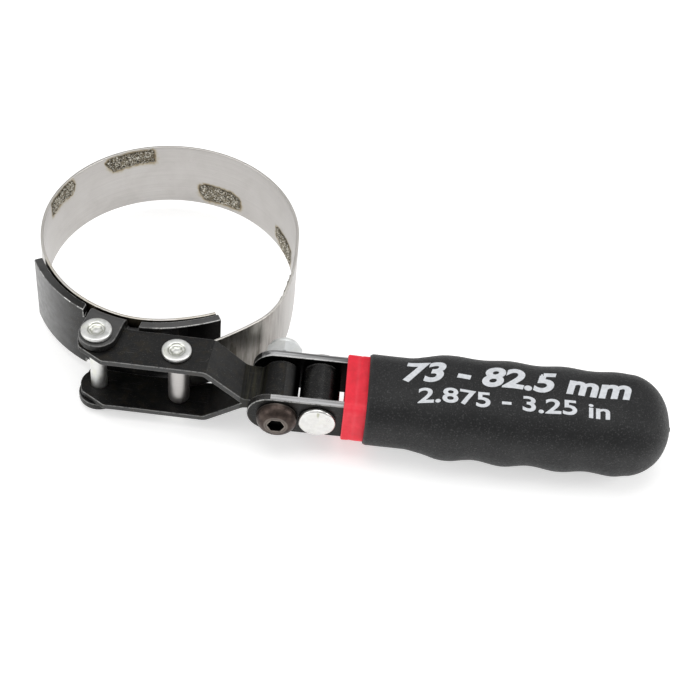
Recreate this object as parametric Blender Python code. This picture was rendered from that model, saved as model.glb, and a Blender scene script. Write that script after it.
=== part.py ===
"""Oil filter wrench with a spring-steel band, a lever yoke and a swivelling handle.

Built in the frame of the band: the band's round part is centred on the plan
origin, +X runs along the handle, +Z is along the band's axis.  OFFSET then moves
the whole object so that its box stands on Z = 0, centred on X = Y = 0.
All dimensions below are in millimetres; meshes are written in metres.
"""
import math

import bmesh
import bpy
from mathutils import Matrix, Vector

MM = 0.001
GAP = 0.3                     # clearance between pieces that touch or are welded

# ---------------------------------------------------------------- band
BAND_R = 42.2                 # outer radius of the open band
BAND_T = 0.9                  # spring steel thickness
BAND_H = 24.6                 # width of the strip
SWELL, SWELL_FROM, SWELL_TO = 0.3, 185.0, 205.0   # the fixed part lies slightly wider
FLAT_DEPTH = 1.4              # and is flatter beside the pivot
FLAT_FROM, FLAT_TO = 255.0, 290.0
ANCHOR_END = 298.0            # welded end of the band, degrees
HINGE_ANGLES = (183.0, 139.0, 95.5, 50.5, 6.0)
TAIL_START = 2.0              # the band leaves the circle here, degrees
TAIL_C1 = (43.44, -43.51)     # control points of the free tail
TAIL_C2 = (27.52, -39.22)
TAIL_SPLIT = 0.40             # curve parameter of the last flex line
TAIL_H = 16.6                 # strip width between the yoke plates
NARROW_FROM, NARROW_LEN = 40.65, 24.1
EYE_IR, EYE_OR = 2.65, 3.4
EYE_SHIFT = (0.7, -0.3)       # eye centre relative to the tension rivet
LEAF_LEN = 14.0               # doubled-back end of the strip

# grit pads on the inner face: centre angle, half length, bottom and top
PAD_T = 0.6
PADS = (
    ("grit_pad_1", 160.5, 10.4, 4.6, 11.6),
    ("grit_pad_2", 118.4, 12.4, 4.6, 11.6),
    ("grit_pad_3", 73.4, 11.2, -10.6, -3.0),
    ("grit_pad_4", 28.2, 11.0, -11.2, -4.2),
    ("grit_pad_6", -67.0, 6.6, -11.4, -4.4),
    ("grit_pad_7", -111.0, 10.0, 4.6, 11.6),
    ("grit_pad_8", -155.0, 10.0, -11.4, -4.4),
)
PAD5_SPAN = (0.13, 0.30)      # the pad on the straight part, by curve parameter
PAD5_Z = (4.6, 11.6)

# ---------------------------------------------------------------- bracket
BR_T = 2.7
BR_LEFT, BR_RIGHT = 206.6, 298.9
BR_GAP, BR_GAP_NEAR = 0.7, 0.35   # the bracket stands off the band, less beside the pivot
BR_GAP_FROM, BR_GAP_TO = 272.0, 296.0
PIVOT = (-15.6, -50.8)        # pivot rivet
EAR_MID = (-15.2, -50.8)      # centre of the upper ear's round end
EAR_LOW = 1.1                 # the lower ear is this much longer and wider
EAR_AIM = -102.0              # direction the ears point in, degrees
EAR_R = 5.95
EAR_Z = 11.55                 # underside of the ear
EAR_T = 2.4
NOTCH_L, NOTCH_R = 2.6, 4.2   # relief notches beside the ears
NOTCH_D, NOTCH_D_LOW = 3.2, 1.9

# ---------------------------------------------------------------- lever yoke
TENSION = (9.35, -53.45)       # tension rivet
YK_T = 1.9
YK_Z = 11.25                  # outer face of each plate
YK_NEAR = ((-60.0, -60.0), (-9.5, -59.9), (18.5, -60.5), (31.0, -61.5), (80.0, -61.5))
YK_FAR = ((-60.0, -45.35), (-9.5, -45.35), (-3.0, -45.9), (2.0, -45.9), (20.5, -46.3), (31.0, -46.9), (36.0, -47.2), (80.0, -47.2))
YK_BEND_X, YK_NECK_X = 19.8, 31.0
YK_SKEW = 0.10                # the bend line is not square to the plates
YK_END_R = 5.9
BARREL_OR, BARREL_IR = 5.8, 4.0

# ---------------------------------------------------------------- handle
HY = -54.5                    # middle plane of the handle
SWIVEL_X = 41.8
SPACER_X = 54.2
ST_T = 2.55
ST_H = 14.1
ST_W = 20.8                   # over both legs of the strap
ST_X0, ST_X1 = 32.4, 157.0
SLEEVE_X0, SLEEVE_X1 = 61.9, 157.8
SLEEVE_HY, SLEEVE_HZ, SLEEVE_R = 11.7, 8.3, 2.4
SLEEVE_IN_HY, SLEEVE_IN_HZ, SLEEVE_IN_R = 10.75, 7.4, 1.2
GRIP_X0, GRIP_X1 = 68.8, 163.6
GRIP_NUB = 0.6
GRIP_A0, GRIP_B0 = 14.3, 11.6         # half width and half height at the front
GRIP_A1, GRIP_B1 = 16.1, 13.2         # and over the finger waves
GRIP_WAVE = 0.45
GRIP_PITCH = 17.6
GRIP_CREST = 94.8
GRIP_END_L = 13.0
GRIP_P = 2.6                           # superellipse exponent

# ---------------------------------------------------------------- fasteners
PIV_SHANK, PIV_HEAD = 2.6, 4.75
TEN_SHANK, TEN_HEAD = 1.75, 4.6
SCREW_SHANK, SCREW_HEAD, SCREW_HEAD_H, SCREW_AF = 2.75, 6.35, 3.9, 4.6
NUT_AF = 11.0
BUSH_OR, BUSH_IR = 3.7, 3.05
SPACER_OR, SPACER_IR = 5.95, 3.3
SR_SHANK, SR_HEAD, SR_HEAD_T = 3.0, 5.75, 1.5

BOX_X = (-BAND_R, GRIP_X1 + GRIP_NUB)
BOX_Y = (HY - GRIP_A1 - GRIP_WAVE, BAND_R)
BOX_Z = 15.5
OFFSET = Vector((-(BOX_X[0] + BOX_X[1]) / 2, -(BOX_Y[0] + BOX_Y[1]) / 2, BOX_Z))


# ================================================================ helpers
for ob in list(bpy.data.objects):
    bpy.data.objects.remove(ob, do_unlink=True)
for me in list(bpy.data.meshes):
    bpy.data.meshes.remove(me)


def material(name, rgb, rough, metal):
    m = bpy.data.materials.new(name)
    m.use_nodes = True
    b = m.node_tree.nodes["Principled BSDF"]
    b.inputs["Base Color"].default_value = (*rgb, 1)
    b.inputs["Roughness"].default_value = rough
    b.inputs["Metallic"].default_value = metal
    m.diffuse_color = (*rgb, 1)
    return m


def axis_empty(name, at, parent=None):
    """Empty on a joint's axis; moving pieces are parented to it."""
    e = bpy.data.objects.new(name, None)
    bpy.context.scene.collection.objects.link(e)
    e.empty_display_size = 0.01
    world = (Vector(at) + OFFSET) * MM
    e["at"] = tuple(world)
    if parent is not None:
        e.parent = parent
        world = world - Vector(parent["at"])
    e.location = world
    return e


def obj(name, bm, mat, parent=None, sharp=35.0):
    """Finish a bmesh given in band-frame millimetres as a named object."""
    origin = Vector(parent["at"]) if parent is not None else OFFSET * MM
    for v in bm.verts:
        v.co = (v.co + OFFSET) * MM - origin
    bmesh.ops.recalc_face_normals(bm, faces=bm.faces)
    me = bpy.data.meshes.new(name)
    bm.to_mesh(me)
    bm.free()
    me.shade_smooth()
    me.set_sharp_from_angle(angle=math.radians(sharp))
    me.materials.append(mat)
    ob = bpy.data.objects.new(name, me)
    bpy.context.scene.collection.objects.link(ob)
    if parent is not None:
        ob.parent = parent
    else:
        ob.location = origin
    return ob


def smooth(t):
    t = min(1.0, max(0.0, t))
    return t * t * (3 - 2 * t)


def polar(r, deg):
    a = math.radians(deg)
    return Vector((r * math.cos(a), r * math.sin(a)))


def loft(rings, closed=False):
    """Closed skin through rings of equal length; ends are capped unless closed."""
    bm = bmesh.new()
    vs = [[bm.verts.new(p) for p in ring] for ring in rings]
    n = len(rings[0])
    last = len(vs) if closed else len(vs) - 1
    for i in range(last):
        a, b = vs[i], vs[(i + 1) % len(vs)]
        for j in range(n):
            k = (j + 1) % n
            bm.faces.new((a[j], a[k], b[k], b[j]))
    if not closed:
        bm.faces.new(vs[0])
        bm.faces.new(vs[-1])
    return bm


def prism(outline, lo, hi, axis="Z"):
    """Outline extruded along one axis. For Z it is in XY, for Y in XZ, for X in YZ."""
    def place(p, t):
        if axis == "Z":
            return (p[0], p[1], t)
        if axis == "Y":
            return (p[0], t, p[1])
        return (t, p[0], p[1])
    return loft([[place(p, lo) for p in outline], [place(p, hi) for p in outline]])


def turned(profile, centre, axis="Z", steps=32):
    """Profile of (radius, height) pairs turned about an axis; radius 0 closes it."""
    bm = bmesh.new()
    rings = []
    for r, h in profile:
        ring = []
        count = 1 if r == 0 else steps
        for k in range(count):
            a = 2 * math.pi * (k + 0.5) / steps
            c, s = r * math.cos(a), r * math.sin(a)
            if axis == "Z":
                p = (centre[0] + c, centre[1] + s, h)
            else:
                p = (centre[0] + c, h, centre[1] + s)
            ring.append(bm.verts.new(p))
        rings.append(ring)
    open_profile = profile[0][0] == 0
    pairs = list(zip(rings[:-1], rings[1:]))
    if not open_profile:
        pairs.append((rings[-1], rings[0]))
    for a, b in pairs:
        for k in range(steps):
            m = (k + 1) % steps
            if len(a) == 1:
                bm.faces.new((a[0], b[m], b[k]))
            elif len(b) == 1:
                bm.faces.new((a[k], a[m], b[0]))
            else:
                bm.faces.new((a[k], a[m], b[m], b[k]))
    return bm


def strip(points, thick, z_lo, z_hi):
    """Upright strip along plan points; z_lo and z_hi are numbers or lists."""
    n = len(points)
    rings = []
    for i, p in enumerate(points):
        a, b = points[max(0, i - 1)], points[min(n - 1, i + 1)]
        t = (b - a).normalized()
        q = Vector((-t.y, t.x)) * thick / 2
        lo = z_lo[i] if isinstance(z_lo, list) else z_lo
        hi = z_hi[i] if isinstance(z_hi, list) else z_hi
        o, w = p + q, p - q
        rings.append([(o.x, o.y, lo), (w.x, w.y, lo), (w.x, w.y, hi), (o.x, o.y, hi)])
    return loft(rings)


def temp(bm):
    me = bpy.data.meshes.new("cutter")
    bmesh.ops.recalc_face_normals(bm, faces=bm.faces)
    bm.to_mesh(me)
    bm.free()
    ob = bpy.data.objects.new("cutter", me)
    bpy.context.scene.collection.objects.link(ob)
    ob.hide_render = True
    ob.display_type = "WIRE"
    return ob


def combine(base, *steps):
    """Exact Booleans on bmeshes in millimetres: steps are (operation, bmesh)."""
    a = temp(base)
    tools = []
    for op, bm in steps:
        t = temp(bm)
        tools.append(t)
        mod = a.modifiers.new(op, "BOOLEAN")
        mod.operation = op
        mod.solver = "EXACT"
        mod.object = t
    bpy.context.view_layer.update()
    ev = a.evaluated_get(bpy.context.evaluated_depsgraph_get())
    out = bmesh.new()
    out.from_mesh(ev.to_mesh())
    ev.to_mesh_clear()
    for ob in [a] + tools:
        me = ob.data
        bpy.data.objects.remove(ob, do_unlink=True)
        bpy.data.meshes.remove(me)
    bmesh.ops.remove_doubles(out, verts=out.verts, dist=0.002)
    bmesh.ops.dissolve_degenerate(out, edges=out.edges, dist=0.002)
    return out


def rounded_rect(hy, hz, r, n=5, yc=0.0):
    pts = []
    for cy, cz, a0 in ((hy - r, hz - r, 0), (-hy + r, hz - r, 90), (-hy + r, -hz + r, 180), (hy - r, -hz + r, 270)):
        for k in range(n + 1):
            a = math.radians(a0 + 90 * k / n)
            pts.append((yc + cy + r * math.cos(a), cz + r * math.sin(a)))
    return pts


# ================================================================ band paths
def loop_radius(deg):
    """Outer radius of the loop: round, wider and then flatter where it is fixed."""
    d = deg % 360
    if d < 180 or d > 330:
        return BAND_R
    return BAND_R + SWELL * smooth((d - SWELL_FROM) / (SWELL_TO - SWELL_FROM)) - FLAT_DEPTH * smooth((d - FLAT_FROM) / (FLAT_TO - FLAT_FROM))


def shoe_radius(deg):
    """Inner radius of the bracket."""
    d = deg % 360
    return loop_radius(d) + BR_GAP - (BR_GAP - BR_GAP_NEAR) * smooth((d - BR_GAP_FROM) / (BR_GAP_TO - BR_GAP_FROM))


def arc_points(a0, a1, inset, step=4.0, radius=loop_radius):
    n = max(2, int(round(abs(a1 - a0) / step)))
    return [polar(radius(a0 + (a1 - a0) * k / n) - inset, a0 + (a1 - a0) * k / n) for k in range(n + 1)]


def bezier(p0, p1, p2, p3, t):
    u = 1 - t
    return p0 * u ** 3 + p1 * 3 * u * u * t + p2 * 3 * u * t * t + p3 * t ** 3


EYE = Vector(TENSION) + Vector(EYE_SHIFT)
EYE_MID = (EYE_IR + EYE_OR) / 2
TAIL_DIR = Vector((math.cos(math.radians(-150)), math.sin(math.radians(-150))))
TAIL_P0 = polar(BAND_R - BAND_T / 2, TAIL_START)
TAIL_P3 = EYE + Vector((TAIL_DIR.y, -TAIL_DIR.x)) * EYE_MID
TAIL_P1, TAIL_P2 = Vector(TAIL_C1), Vector(TAIL_C2)


def tail_point(t):
    return bezier(TAIL_P0, TAIL_P1, TAIL_P2, TAIL_P3, t)


def tail_points(t0, t1, n, offset=0.0):
    out = []
    for k in range(n + 1):
        t = t0 + (t1 - t0) * k / n
        p = tail_point(t)
        d = (tail_point(t + 1e-4) - tail_point(t - 1e-4)).normalized()
        out.append(p + Vector((-d.y, d.x)) * offset)
    return out


def tail_length(t, n=200):
    return sum((tail_point(t * (k + 1) / n) - tail_point(t * k / n)).length for k in range(n))


def tail_half(t):
    """Half width of the strip along the tail."""
    return BAND_H / 2 - (BAND_H - TAIL_H) / 2 * smooth((tail_length(t) - NARROW_FROM) / NARROW_LEN)


# ================================================================ materials
BAND_STEEL = material("spring_steel", (0.55, 0.54, 0.52), 0.3, 1.0)
BLACK_STEEL = material("black_steel", (0.035, 0.036, 0.04), 0.42, 0.6)
ZINC = material("bright_zinc", (0.74, 0.75, 0.74), 0.3, 1.0)
OXIDE = material("black_oxide_screw", (0.05, 0.04, 0.038), 0.35, 0.8)
GRIT = material("grit_deposit", (0.22, 0.19, 0.14), 0.8, 0.5)
RED_VINYL = material("red_vinyl", (0.72, 0.03, 0.06), 0.5, 0.0)
BLACK_VINYL = material("black_grip", (0.025, 0.026, 0.028), 0.7, 0.0)
NYLON = material("nylon_insert", (0.75, 0.78, 0.8), 0.5, 0.0)

# ================================================================ joint axes
flex = []
parent = None
for i, deg in enumerate(HINGE_ANGLES):
    p = polar(BAND_R - BAND_T / 2, deg)
    parent = axis_empty("flex_axis_%d" % (i + 1), (p.x, p.y, 0), parent)
    flex.append(parent)
split = tail_point(TAIL_SPLIT)
tail_axis = axis_empty("tail_axis", (split.x, split.y, 0), flex[-1])
lever_axis = axis_empty("lever_axis", (PIVOT[0], PIVOT[1], 0))
swivel_axis = axis_empty("swivel_axis", (SWIVEL_X, HY, 0), lever_axis)

# ================================================================ band
HALF = BAND_H / 2
HINGE_GAP = math.degrees(GAP / 2 / BAND_R) * 1.15

obj("band_anchor", strip(arc_points(ANCHOR_END, HINGE_ANGLES[0] + HINGE_GAP, BAND_T / 2), BAND_T, -HALF, HALF), BAND_STEEL)
for i in range(4):
    a0, a1 = HINGE_ANGLES[i] - HINGE_GAP, HINGE_ANGLES[i + 1] + HINGE_GAP
    obj("band_leaf_%d" % (i + 1), strip(arc_points(a0, a1, BAND_T / 2), BAND_T, -HALF, HALF), BAND_STEEL, flex[i])

side = arc_points(HINGE_ANGLES[4] - HINGE_GAP, TAIL_START, BAND_T / 2, 2.0)[:-1]
side += tail_points(0.0, TAIL_SPLIT - 0.004, 10)
obj("band_leaf_5", strip(side, BAND_T, -HALF, HALF), BAND_STEEL, flex[4])

# tail: narrowing strip, eye and doubled-back end as one piece
ts = [TAIL_SPLIT + 0.004 + (1 - TAIL_SPLIT - 0.004) * k / 18 for k in range(19)]
halves = [tail_half(t) for t in ts]
tail_strip = strip([tail_point(t) for t in ts], BAND_T, [-h for h in halves], halves)
total = tail_length(1.0)
leaf_t0 = next(t / 400 for t in range(400) if tail_length(t / 400, 80) > total - LEAF_LEN)
leaf = strip(tail_points(leaf_t0, 0.93, 8, BAND_T * 0.9), BAND_T, -TAIL_H / 2 + 0.15, TAIL_H / 2 - 0.15)
ring = turned([(EYE_IR, -TAIL_H / 2), (EYE_OR, -TAIL_H / 2), (EYE_OR, TAIL_H / 2), (EYE_IR, TAIL_H / 2)], EYE, "Z", 24)
obj("band_tail", combine(ring, ("UNION", tail_strip), ("UNION", leaf)), BAND_STEEL, tail_axis)

for name, mid, half, lo, hi in PADS:
    body = flex[sum(1 for h in HINGE_ANGLES if mid < h) - 1] if mid > -50 else None
    pts = arc_points(mid + half, mid - half, BAND_T + GAP + PAD_T / 2)
    obj(name, strip(pts, PAD_T, lo, hi), GRIT, body)
pts = tail_points(PAD5_SPAN[0], PAD5_SPAN[1], 5, -(BAND_T / 2 + GAP + PAD_T / 2))
obj("grit_pad_5", strip(pts, PAD_T, *PAD5_Z), GRIT, flex[4])

# ================================================================ bracket
wall = strip(arc_points(BR_LEFT, BR_RIGHT, -BR_T / 2, 3.5, shoe_radius), BR_T, -HALF, HALF)
PIV = Vector(PIVOT)
EAR_C = Vector(EAR_MID)
er = polar(1.0, EAR_AIM)                     # the way the ears point
et = Vector((-er.y, er.x))
BEND = 0.6                                   # inner bend radius of the ears
SINK = 0.06                                  # the ear's root is this much inside the wall


def ear_at(a, w):
    """Plan point, a along the ear from the centre of its round end and w across it."""
    return EAR_C + er * a + et * w


def wall_at(w):
    """Where the wall's inner face crosses the ear's line at w."""
    lo, hi = -16.0, 0.0
    for _ in range(40):
        mid = (lo + hi) / 2
        p = ear_at(mid, w)
        if p.length < shoe_radius(math.degrees(math.atan2(p.y, p.x))):
            lo = mid
        else:
            hi = mid
    return lo


def bent_ear(sgn):
    """Ear folded outward from the edge of the wall, with a round end."""
    zc = EAR_Z - BEND
    z_root = HALF - NOTCH_D - 1.5
    lean = 1.0 / math.cos(math.radians(5.0))
    rings = []
    for w in (-9.0, -6.0, -3.0, 0.0, 3.0, 6.0, 9.0):
        s0 = wall_at(w) + SINK
        s1 = s0 + (BR_T - 2 * SINK) * lean
        fold = s1 + BEND
        prof = [(s0, z_root), (s0, zc)]
        prof += [(fold - (fold - s0) * math.cos(math.radians(a)), zc + (EAR_T + BEND) * math.sin(math.radians(a))) for a in (18, 36, 54, 72, 90)]
        prof += [(9.0, EAR_Z + EAR_T), (9.0, EAR_Z)]
        prof += [(fold - BEND * math.cos(math.radians(a)), zc + BEND * math.sin(math.radians(a))) for a in (90, 45, 0)]
        prof += [(s1, z_root)]
        rings.append([(*ear_at(a, w), sgn * z) for a, z in prof])
    wide = EAR_R if sgn > 0 else EAR_R + EAR_LOW / 2
    mid = EAR_C if sgn > 0 else EAR_C + er * EAR_LOW
    out = [ear_at(-16.0, -EAR_R)]
    out += [mid + et * (wide * math.cos(math.radians(a))) + er * (wide * math.sin(math.radians(a))) for a in [180 - 11.25 * k for k in range(17)]]
    out += [ear_at(-16.0, EAR_R)]
    lo, hi = sorted((sgn * 1.0, sgn * 25.0))
    return combine(loft(rings), ("INTERSECT", prism(out, lo, hi)))


steps = []
for sgn in (1, -1):
    # the wall's edge is cut down across the ear and its two relief notches
    w0, w1 = -EAR_R - NOTCH_L, EAR_R + NOTCH_R
    box = [ear_at(-14.0, w0), ear_at(0.0, w0), ear_at(0.0, w1), ear_at(-14.0, w1)]
    lo, hi = sorted((sgn * (HALF - (NOTCH_D if sgn > 0 else NOTCH_D_LOW)), sgn * (HALF + 3)))
    steps.append(("DIFFERENCE", prism(box, lo, hi)))
for sgn in (1, -1):
    steps.append(("UNION", bent_ear(sgn)))
steps.append(("DIFFERENCE", turned([(0, -30), (PIV_SHANK + GAP, -30), (PIV_SHANK + GAP, 30), (0, 30)], PIV, "Z", 24)))
obj("bracket", combine(wall, *steps), BLACK_STEEL)

# ================================================================ pivot rivet
RZ = EAR_Z + EAR_T + GAP
head = [(0, RZ + 0.7), (2.0, RZ + 0.7), (2.5, RZ + 1.25), (PIV_HEAD - 0.55, RZ + 1.25), (PIV_HEAD, RZ + 0.85), (PIV_HEAD, RZ)]
profile = [(0, -(RZ + 0.7))] + [(r, -z) for r, z in head[1:]] + [(PIV_SHANK, -RZ), (PIV_SHANK, RZ)] + head[::-1]
obj("pivot_rivet", turned(profile, PIV, "Z", 28), ZINC)

# ================================================================ lever yoke
SLOPE = math.atan2(YK_Z - YK_T, YK_NECK_X - YK_BEND_X)
YK_BO, YK_FILLET, BARREL_FILLET = 4.0, 3.2, 1.5
YK_LEFT = PIVOT[0] - YK_END_R - 2
YK_ARC_X = YK_BEND_X - YK_BO * math.tan(SLOPE / 2)


def yoke_outer():
    """Outer side of the folded strip in X-Z, from the plate end round the barrel."""
    pts = [(YK_LEFT, YK_Z), (YK_ARC_X, YK_Z)]
    for k in range(1, 5):
        a = SLOPE * k / 4
        pts.append((YK_ARC_X + YK_BO * math.sin(a), YK_Z - YK_BO * (1 - math.cos(a))))
    x1, z1 = pts[-1]
    x_q = x1 + (z1 - YK_T) / math.tan(SLOPE)
    cx = x_q + YK_FILLET * math.tan(SLOPE / 2)
    for k in range(5):
        a = SLOPE * (1 - k / 4)
        pts.append((cx - YK_FILLET * math.sin(a), YK_T + YK_FILLET * (1 - math.cos(a))))
    rise = YK_T + BARREL_FILLET
    run = math.sqrt((BARREL_OR + BARREL_FILLET) ** 2 - rise ** 2)
    meet = math.atan2(rise, run)
    for k in range(5):
        a = -math.pi / 2 + (math.pi / 2 - meet) * k / 4
        pts.append((SWIVEL_X - run + BARREL_FILLET * math.cos(a), rise + BARREL_FILLET * math.sin(a)))
    for k in range(1, 13):
        a = (math.pi - meet) * (1 - k / 12)
        pts.append((SWIVEL_X + BARREL_OR * math.cos(a), BARREL_OR * math.sin(a)))
    return pts


upper = yoke_outer()
lower = [(x, -z) for x, z in upper]
inner = [(YK_LEFT, YK_Z - YK_T), (YK_ARC_X, YK_Z - YK_T)]
for k in range(1, 4):
    a = SLOPE * k / 3
    inner.append((YK_ARC_X + (YK_BO - YK_T) * math.sin(a), YK_Z - YK_T - (YK_BO - YK_T) * (1 - math.cos(a))))
tip = (inner[-1][0] + inner[-1][1] / math.tan(SLOPE), 0.0)
section = upper + lower[:-1][::-1] + [(x, -z) for x, z in inner] + [tip] + inner[::-1]


def table(rows, x):
    for (x0, y0), (x1, y1) in zip(rows[:-1], rows[1:]):
        if x <= x1:
            return y0 + (y1 - y0) * (x - x0) / (x1 - x0)
    return rows[-1][1]


def skewed(x, y):
    """The bend line leans: the far side of the plates is longer."""
    w = smooth((x - YK_BEND_X + 14.0) / 12.0) * (1 - smooth((x - YK_BEND_X - 1.0) / (YK_NECK_X - YK_BEND_X)))
    return x + YK_SKEW * (y + 53.0) * w


rings = []
for k in range(7):
    y = -70.0 + 34.0 * k / 6
    rings.append([(skewed(x, max(-61.0, min(-45.0, y))), y, z) for x, z in section])
folded = loft(rings)
# plan outline of the strip: rounded about the pivot, chamfered near corner
xs = [-9.5 + (SWIVEL_X + 8 + 9.5) * k / 24 for k in range(25)]
plan = [Vector((x, table(YK_NEAR, x))) for x in xs]
plan += [Vector((x, table(YK_FAR, x))) for x in xs[::-1]]
for k in range(13):
    a = math.radians(72 + (196 - 72) * k / 12)
    plan.append(PIV + Vector((math.cos(a), math.sin(a))) * YK_END_R)
plan += [PIV + Vector(p) for p in ((-5.3, -3.3), (-4.75, -4.3), (2.5, -9.0), (3.3, -9.15))]
outline = prism(plan, -20, 20)
bore = prism([(SWIVEL_X + BARREL_IR * math.cos(2 * math.pi * k / 28), BARREL_IR * math.sin(2 * math.pi * k / 28)) for k in range(28)], HY - 40, HY + 40, "Y")
drill1 = turned([(0, -30), (PIV_SHANK + GAP, -30), (PIV_SHANK + GAP, 30), (0, 30)], PIV, "Z", 24)
drill2 = turned([(0, -30), (TEN_SHANK + GAP, -30), (TEN_SHANK + GAP, 30), (0, 30)], TENSION, "Z", 24)
obj("lever_yoke", combine(folded, ("INTERSECT", outline), ("DIFFERENCE", bore), ("DIFFERENCE", drill1), ("DIFFERENCE", drill2)), BLACK_STEEL, lever_axis, 25.0)

TZ = YK_Z + GAP
head = [(0, TZ + 0.6), (1.7, TZ + 0.6), (2.2, TZ + 1.15), (TEN_HEAD - 0.55, TZ + 1.25), (TEN_HEAD, TZ + 0.85), (TEN_HEAD, TZ)]
profile = [(0, -(TZ + 0.6))] + [(r, -z) for r, z in head[1:]] + [(TEN_SHANK, -TZ), (TEN_SHANK, TZ)] + head[::-1]
obj("tension_rivet", turned(profile, TENSION, "Z", 28), ZINC, lever_axis)

# ================================================================ handle strap
y_n, y_f = HY - ST_W / 2 + ST_T / 2, HY + ST_W / 2 - ST_T / 2
r_mid = (ST_W - ST_T) / 2
path = [Vector((ST_X0, y_n)), Vector((ST_X1 - ST_W / 2, y_n))]
for k in range(1, 12):
    a = math.radians(-90 + 180 * k / 12)
    path.append(Vector((ST_X1 - ST_W / 2 + r_mid * math.cos(a), HY + r_mid * math.sin(a))))
path += [Vector((ST_X1 - ST_W / 2, y_f)), Vector((ST_X0, y_f))]
bent = strip(path, ST_T, -ST_H / 2, ST_H / 2)
side = [(ST_X1 + 5, -ST_H / 2 - 1), (ST_X1 + 5, ST_H / 2 + 1), (ST_X0 + ST_H / 2, ST_H / 2 + 1)]
for k in range(15):
    a = math.radians(90 + 180 * k / 14)
    side.append((ST_X0 + ST_H / 2 + ST_H / 2 * math.cos(a), ST_H / 2 * math.sin(a)))
side.append((ST_X0 + ST_H / 2, -ST_H / 2 - 1))
ends = prism(side, HY - 30, HY + 30, "Y")
holes = []
for x, r in ((SWIVEL_X, SCREW_SHANK + GAP), (SPACER_X, SR_SHANK + GAP)):
    holes.append(("DIFFERENCE", turned([(0, HY - 40), (r, HY - 40), (r, HY + 40), (0, HY + 40)], (x, 0), "Y", 24)))
obj("handle_strap", combine(bent, ("INTERSECT", ends), *holes), BLACK_STEEL, swivel_axis)

# swivel bushing, screw, lock nut and its insert
IN_N, IN_F = HY - ST_W / 2 + ST_T, HY + ST_W / 2 - ST_T
OUT_N, OUT_F = HY - ST_W / 2, HY + ST_W / 2
obj("swivel_bushing", turned([(BUSH_IR, IN_N + GAP), (BUSH_OR, IN_N + GAP), (BUSH_OR, IN_F - GAP), (BUSH_IR, IN_F - GAP)], (SWIVEL_X, 0), "Y", 28), BLACK_STEEL, swivel_axis)

y0 = OUT_N - GAP
dome = [(SCREW_HEAD, y0), (SCREW_HEAD, y0 - 0.5)]
dome += [(SCREW_HEAD - 3.35 * (1 - math.cos(math.radians(a))), y0 - 0.5 - (SCREW_HEAD_H - 0.5) * math.sin(math.radians(a))) for a in (20, 40, 58, 75, 90)]
profile = [(0, y0 - SCREW_HEAD_H)] + dome[::-1] + [(SCREW_SHANK, y0), (SCREW_SHANK, OUT_F + 7.5), (SCREW_SHANK - 0.5, OUT_F + 8.0), (0, OUT_F + 8.0)]
socket = prism([(SWIVEL_X + SCREW_AF / math.sqrt(3) * math.cos(math.radians(60 * k)), SCREW_AF / math.sqrt(3) * math.sin(math.radians(60 * k))) for k in range(6)], y0 - SCREW_HEAD_H - 1, y0 - SCREW_HEAD_H + 2.4, "Y")
obj("swivel_screw", combine(turned(profile, (SWIVEL_X, 0), "Y", 32), ("DIFFERENCE", socket)), OXIDE, swivel_axis)

yn = OUT_F + GAP
hexa = prism([(SWIVEL_X + NUT_AF / math.sqrt(3) * math.cos(math.radians(30 + 60 * k)), NUT_AF / math.sqrt(3) * math.sin(math.radians(30 + 60 * k))) for k in range(6)], yn, yn + 5.8, "Y")
chamfer = turned([(0, yn - 1), (4.9, yn - 1), (6.6, yn + 0.6), (6.6, yn + 4.9), (5.1, yn + 6.2), (0, yn + 6.2)], (SWIVEL_X, 0), "Y", 36)
collar = turned([(0, yn + 3), (5.05, yn + 3), (5.05, yn + 7.0), (4.6, yn + 7.6), (0, yn + 7.6)], (SWIVEL_X, 0), "Y", 32)
bore = turned([(0, yn - 3), (SCREW_SHANK + GAP, yn - 3), (SCREW_SHANK + GAP, yn + 5.2), (4.2, yn + 5.2), (4.2, yn + 9), (0, yn + 9)], (SWIVEL_X, 0), "Y", 28)
obj("lock_nut", combine(hexa, ("INTERSECT", chamfer), ("UNION", collar), ("DIFFERENCE", bore)), ZINC, swivel_axis)
obj("lock_nut_insert", turned([(SCREW_SHANK + GAP, yn + 5.5), (3.9, yn + 5.5), (3.9, yn + 7.3), (SCREW_SHANK + GAP, yn + 7.3)], (SWIVEL_X, 0), "Y", 24), NYLON, swivel_axis)

obj("spacer_tube", turned([(SPACER_IR, IN_N + GAP), (SPACER_OR - 0.4, IN_N + GAP), (SPACER_OR, IN_N + GAP + 0.4), (SPACER_OR, IN_F - GAP - 0.4), (SPACER_OR - 0.4, IN_F - GAP), (SPACER_IR, IN_F - GAP)], (SPACER_X, 0), "Y", 32), BLACK_STEEL, swivel_axis)
ya, yb = OUT_N - GAP, OUT_F + GAP
profile = [(0, ya - SR_HEAD_T), (SR_HEAD - 0.4, ya - SR_HEAD_T), (SR_HEAD, ya - SR_HEAD_T + 0.4), (SR_HEAD, ya), (SR_SHANK, ya), (SR_SHANK, yb), (SR_HEAD, yb), (SR_HEAD, yb + SR_HEAD_T - 0.4), (SR_HEAD - 0.4, yb + SR_HEAD_T), (0, yb + SR_HEAD_T)]
obj("spacer_rivet", turned(profile, (SPACER_X, 0), "Y", 32), ZINC, swivel_axis)

# red sleeve: open tube over both legs of the strap
outer = rounded_rect(SLEEVE_HY, SLEEVE_HZ, SLEEVE_R, 4, HY)
inner_loop = rounded_rect(SLEEVE_IN_HY, SLEEVE_IN_HZ, SLEEVE_IN_R, 4, HY)
rings = [[(x, y, z) for y, z in loop] for x, loop in ((SLEEVE_X0, outer), (SLEEVE_X1, outer), (SLEEVE_X1, inner_loop), (SLEEVE_X0, inner_loop))]
obj("handle_sleeve", loft(rings, closed=True), RED_VINYL, swivel_axis)


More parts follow.
